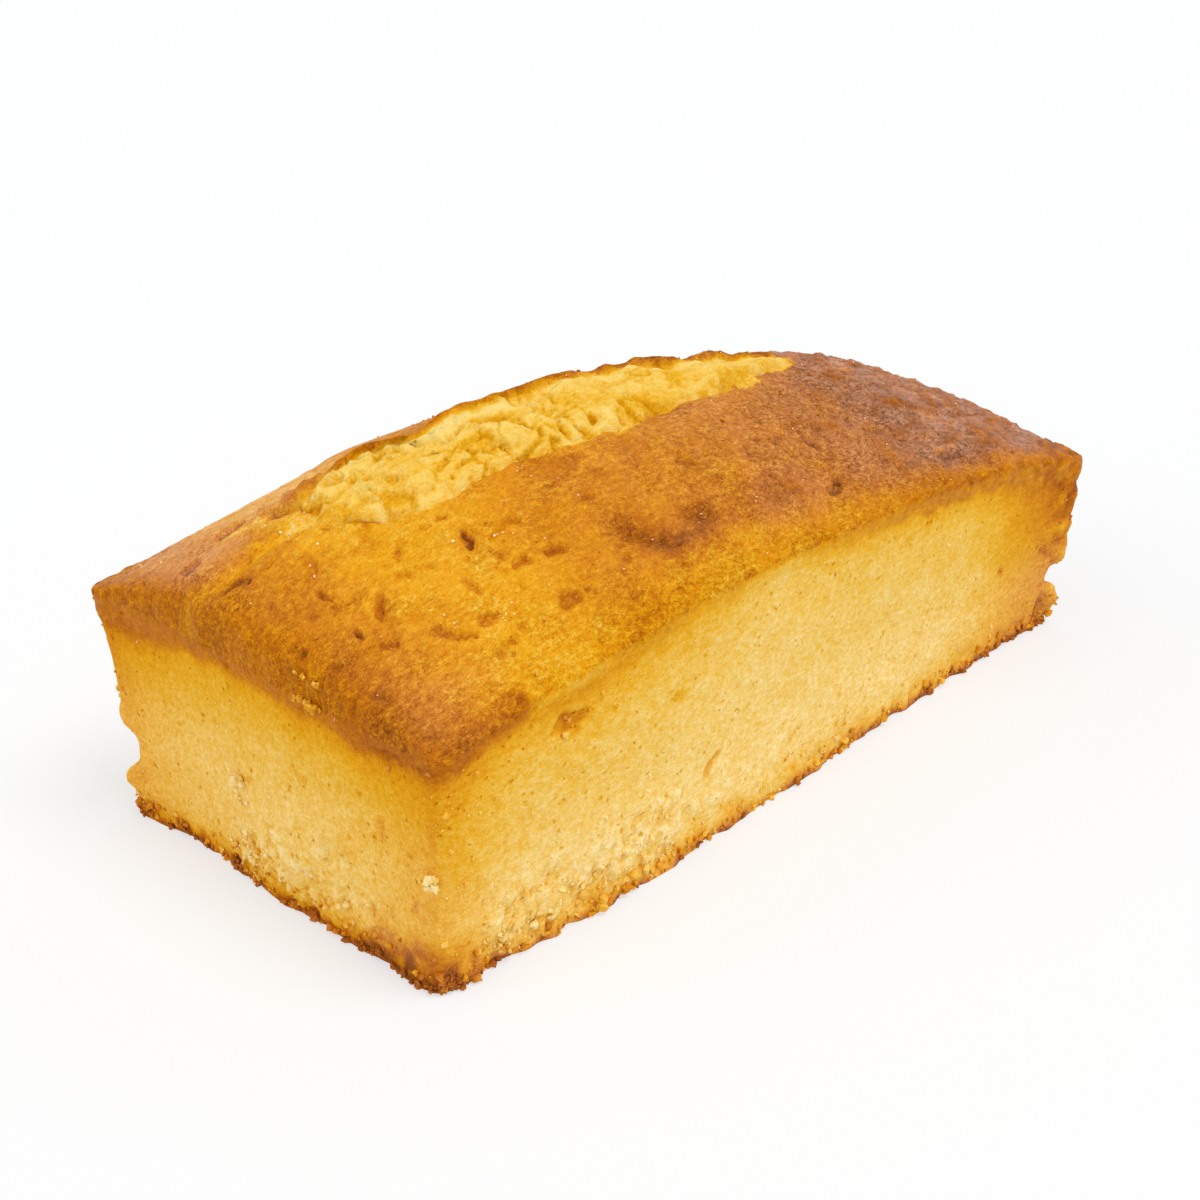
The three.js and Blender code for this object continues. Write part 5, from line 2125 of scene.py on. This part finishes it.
    def material(self) -> bpy.types.Material:
        """Builds the material from the vertex attributes and patterns in object space."""
        stuff = bpy.data.materials.new("baked_butter_cake")
        stuff.use_nodes = True
        tree = stuff.node_tree
        shader = tree.nodes["Principled BSDF"]
        found = self.zones(tree)
        found.update(self.patterns(tree, found["grainy"]))
        tree.links.new(self.bump(tree, found), shader.inputs["Normal"])
        tree.links.new(self.colour(tree, found), shader.inputs["Base Color"])
        tree.links.new(self.roughness(tree, found), shader.inputs["Roughness"])
        shader.inputs["IOR"].default_value = self.ior
        shader.inputs["Specular IOR Level"].default_value = self.specular
        shader.inputs["Subsurface Weight"].default_value = self.translucency
        shader.inputs["Subsurface Radius"].default_value = self.bleed
        shader.inputs["Subsurface Scale"].default_value = self.bleed_mm * MM
        return stuff


# ---- The studio ----


def aim(forward: Array, place: Array, roll: float) -> Matrix:
    """World matrix of a lamp or camera that looks along "forward".

    Args:
        forward: unit direction that it looks in.
        place: where it is, in metres.
        roll: turn of its level X axis towards its up axis, in radians.

    Returns:
        The matrix.
    """
    right = np.cross(forward, (0.0, 0.0, 1.0))
    right = right / np.linalg.norm(right)
    up = np.cross(right, forward)
    x = np.cos(roll) * right + np.sin(roll) * up
    y = np.cos(roll) * up - np.sin(roll) * right
    matrix = np.eye(4)
    matrix[:3, :4] = np.stack([x, y, -forward, place], -1)
    return Matrix(matrix.tolist())


@dataclass(frozen=True)
class Studio:
    """A pale seamless floor, soft light from all round and the camera.

    Attributes:
        azimuth, elevation, roll: the camera's aim in degrees: azimuth 0 looks along +Y.
        nearest, farthest: the distances between which the camera sees, in metres.
        glow, glow_strength: colour and strength of the floor's own light.
        sky, backdrop: brightness of the light from all round, and of what shows behind.
        lamps: (towards the lamp, strength, breadth in radians) for each soft lamp.
    """

    eye: tuple[float, float, float] = (-304.506, -254.347, 212.330)
    azimuth: float = -48.53
    elevation: float = 24.78
    roll: float = 0.95
    lens: float = 52.5
    sensor: float = 36.0
    nearest: float = 0.01
    farthest: float = 100.0
    floor_radius: float = 30000.0
    floor_sides: int = 96
    board: str = "#a2a2a2"
    roughness: float = 0.9
    glow: str = "#fdfeff"
    glow_strength: float = 0.57
    sky: float = 0.66
    backdrop: float = 0.985
    lamps: tuple[tuple[tuple[float, float, float], float, float], ...] = (
        ((0.10, -0.42, 0.90), 1.51, 0.6),
        ((-0.80, 0.30, 0.50), 0.56, 0.8),
    )

    def floor(self) -> bpy.types.Object:
        """A round floor of matt white board that glows a little, which softens the shadow."""
        sides = self.floor_sides
        turn = np.linspace(0, 2 * np.pi, sides, endpoint=False)
        ring = self.floor_radius * np.stack([np.cos(turn), np.sin(turn), np.zeros(sides)], -1)
        floor = make_mesh("floor", ring, [np.arange(sides)[None]], {})
        stuff = bpy.data.materials.new("matt_white_board")
        stuff.use_nodes = True
        shader = stuff.node_tree.nodes["Principled BSDF"]
        shader.inputs["Base Color"].default_value = linear(self.board)
        shader.inputs["Roughness"].default_value = self.roughness
        shader.inputs["Specular IOR Level"].default_value = 0.0
        shader.inputs["Emission Color"].default_value = linear(self.glow)
        shader.inputs["Emission Strength"].default_value = self.glow_strength
        floor.data.materials.append(stuff)
        return floor

    def light(self) -> None:
        """A white sky for the light and a brighter one behind, and the soft lamps."""
        world = bpy.data.worlds.new("studio")
        world.use_nodes = True
        tree = world.node_tree
        seen = add_node(tree, Node.LIGHT_PATH, {}, {}, "Is Camera Ray")
        strength = add_node(tree, Node.MIX, {2: self.sky, 3: self.backdrop}, {0: seen})
        tree.nodes["Background"].inputs["Color"].default_value = linear("#ffffff")
        tree.links.new(strength, tree.nodes["Background"].inputs["Strength"])
        bpy.context.scene.world = world
        for number, (towards, energy, breadth) in enumerate(self.lamps):
            lamp = bpy.data.lights.new(f"soft_lamp_{number}", "SUN")
            lamp.energy = energy
            lamp.angle = breadth
            thing = bpy.data.objects.new(lamp.name, lamp)
            thing.matrix_world = aim(-np.array(towards) / np.linalg.norm(towards), np.zeros(3), 0.0)
            bpy.context.scene.collection.objects.link(thing)

    def camera(self) -> bpy.types.Object:
        """The camera, from its place, azimuth, elevation and roll."""
        azimuth, elevation = np.radians(self.azimuth), np.radians(self.elevation)
        level = np.array([-np.sin(azimuth), np.cos(azimuth), 0.0])
        forward = level * np.cos(elevation) - np.array([0.0, 0.0, np.sin(elevation)])
        lens = bpy.data.cameras.new("camera")
        lens.lens = self.lens
        lens.sensor_width = self.sensor
        lens.clip_start = self.nearest
        lens.clip_end = self.farthest
        thing = bpy.data.objects.new("camera", lens)
        thing.matrix_world = aim(forward, np.array(self.eye) * MM, np.radians(self.roll))
        bpy.context.scene.collection.objects.link(thing)
        bpy.context.scene.camera = thing
        return thing


def main() -> None:
    logging.basicConfig(level=logging.INFO, format="%(name)s: %(message)s")
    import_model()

    cake = Loaf()
    loaf, surface = cake.build()
    pieces = [loaf, *Scatter().build(cake.form, surface)]
    finish = CakeFinish().material()
    for piece in pieces:
        piece.data.materials.append(finish)
        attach(piece, "root")
        log.info("%s: %d faces", piece.name, len(piece.data.polygons))
    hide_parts("loaf")

    studio = Studio()
    studio.floor()
    studio.light()
    studio.camera()
    bpy.context.scene.view_settings.view_transform = "Standard"
    log.info("studio: floor, lamps and camera")


if __name__ == "__main__":
    main()
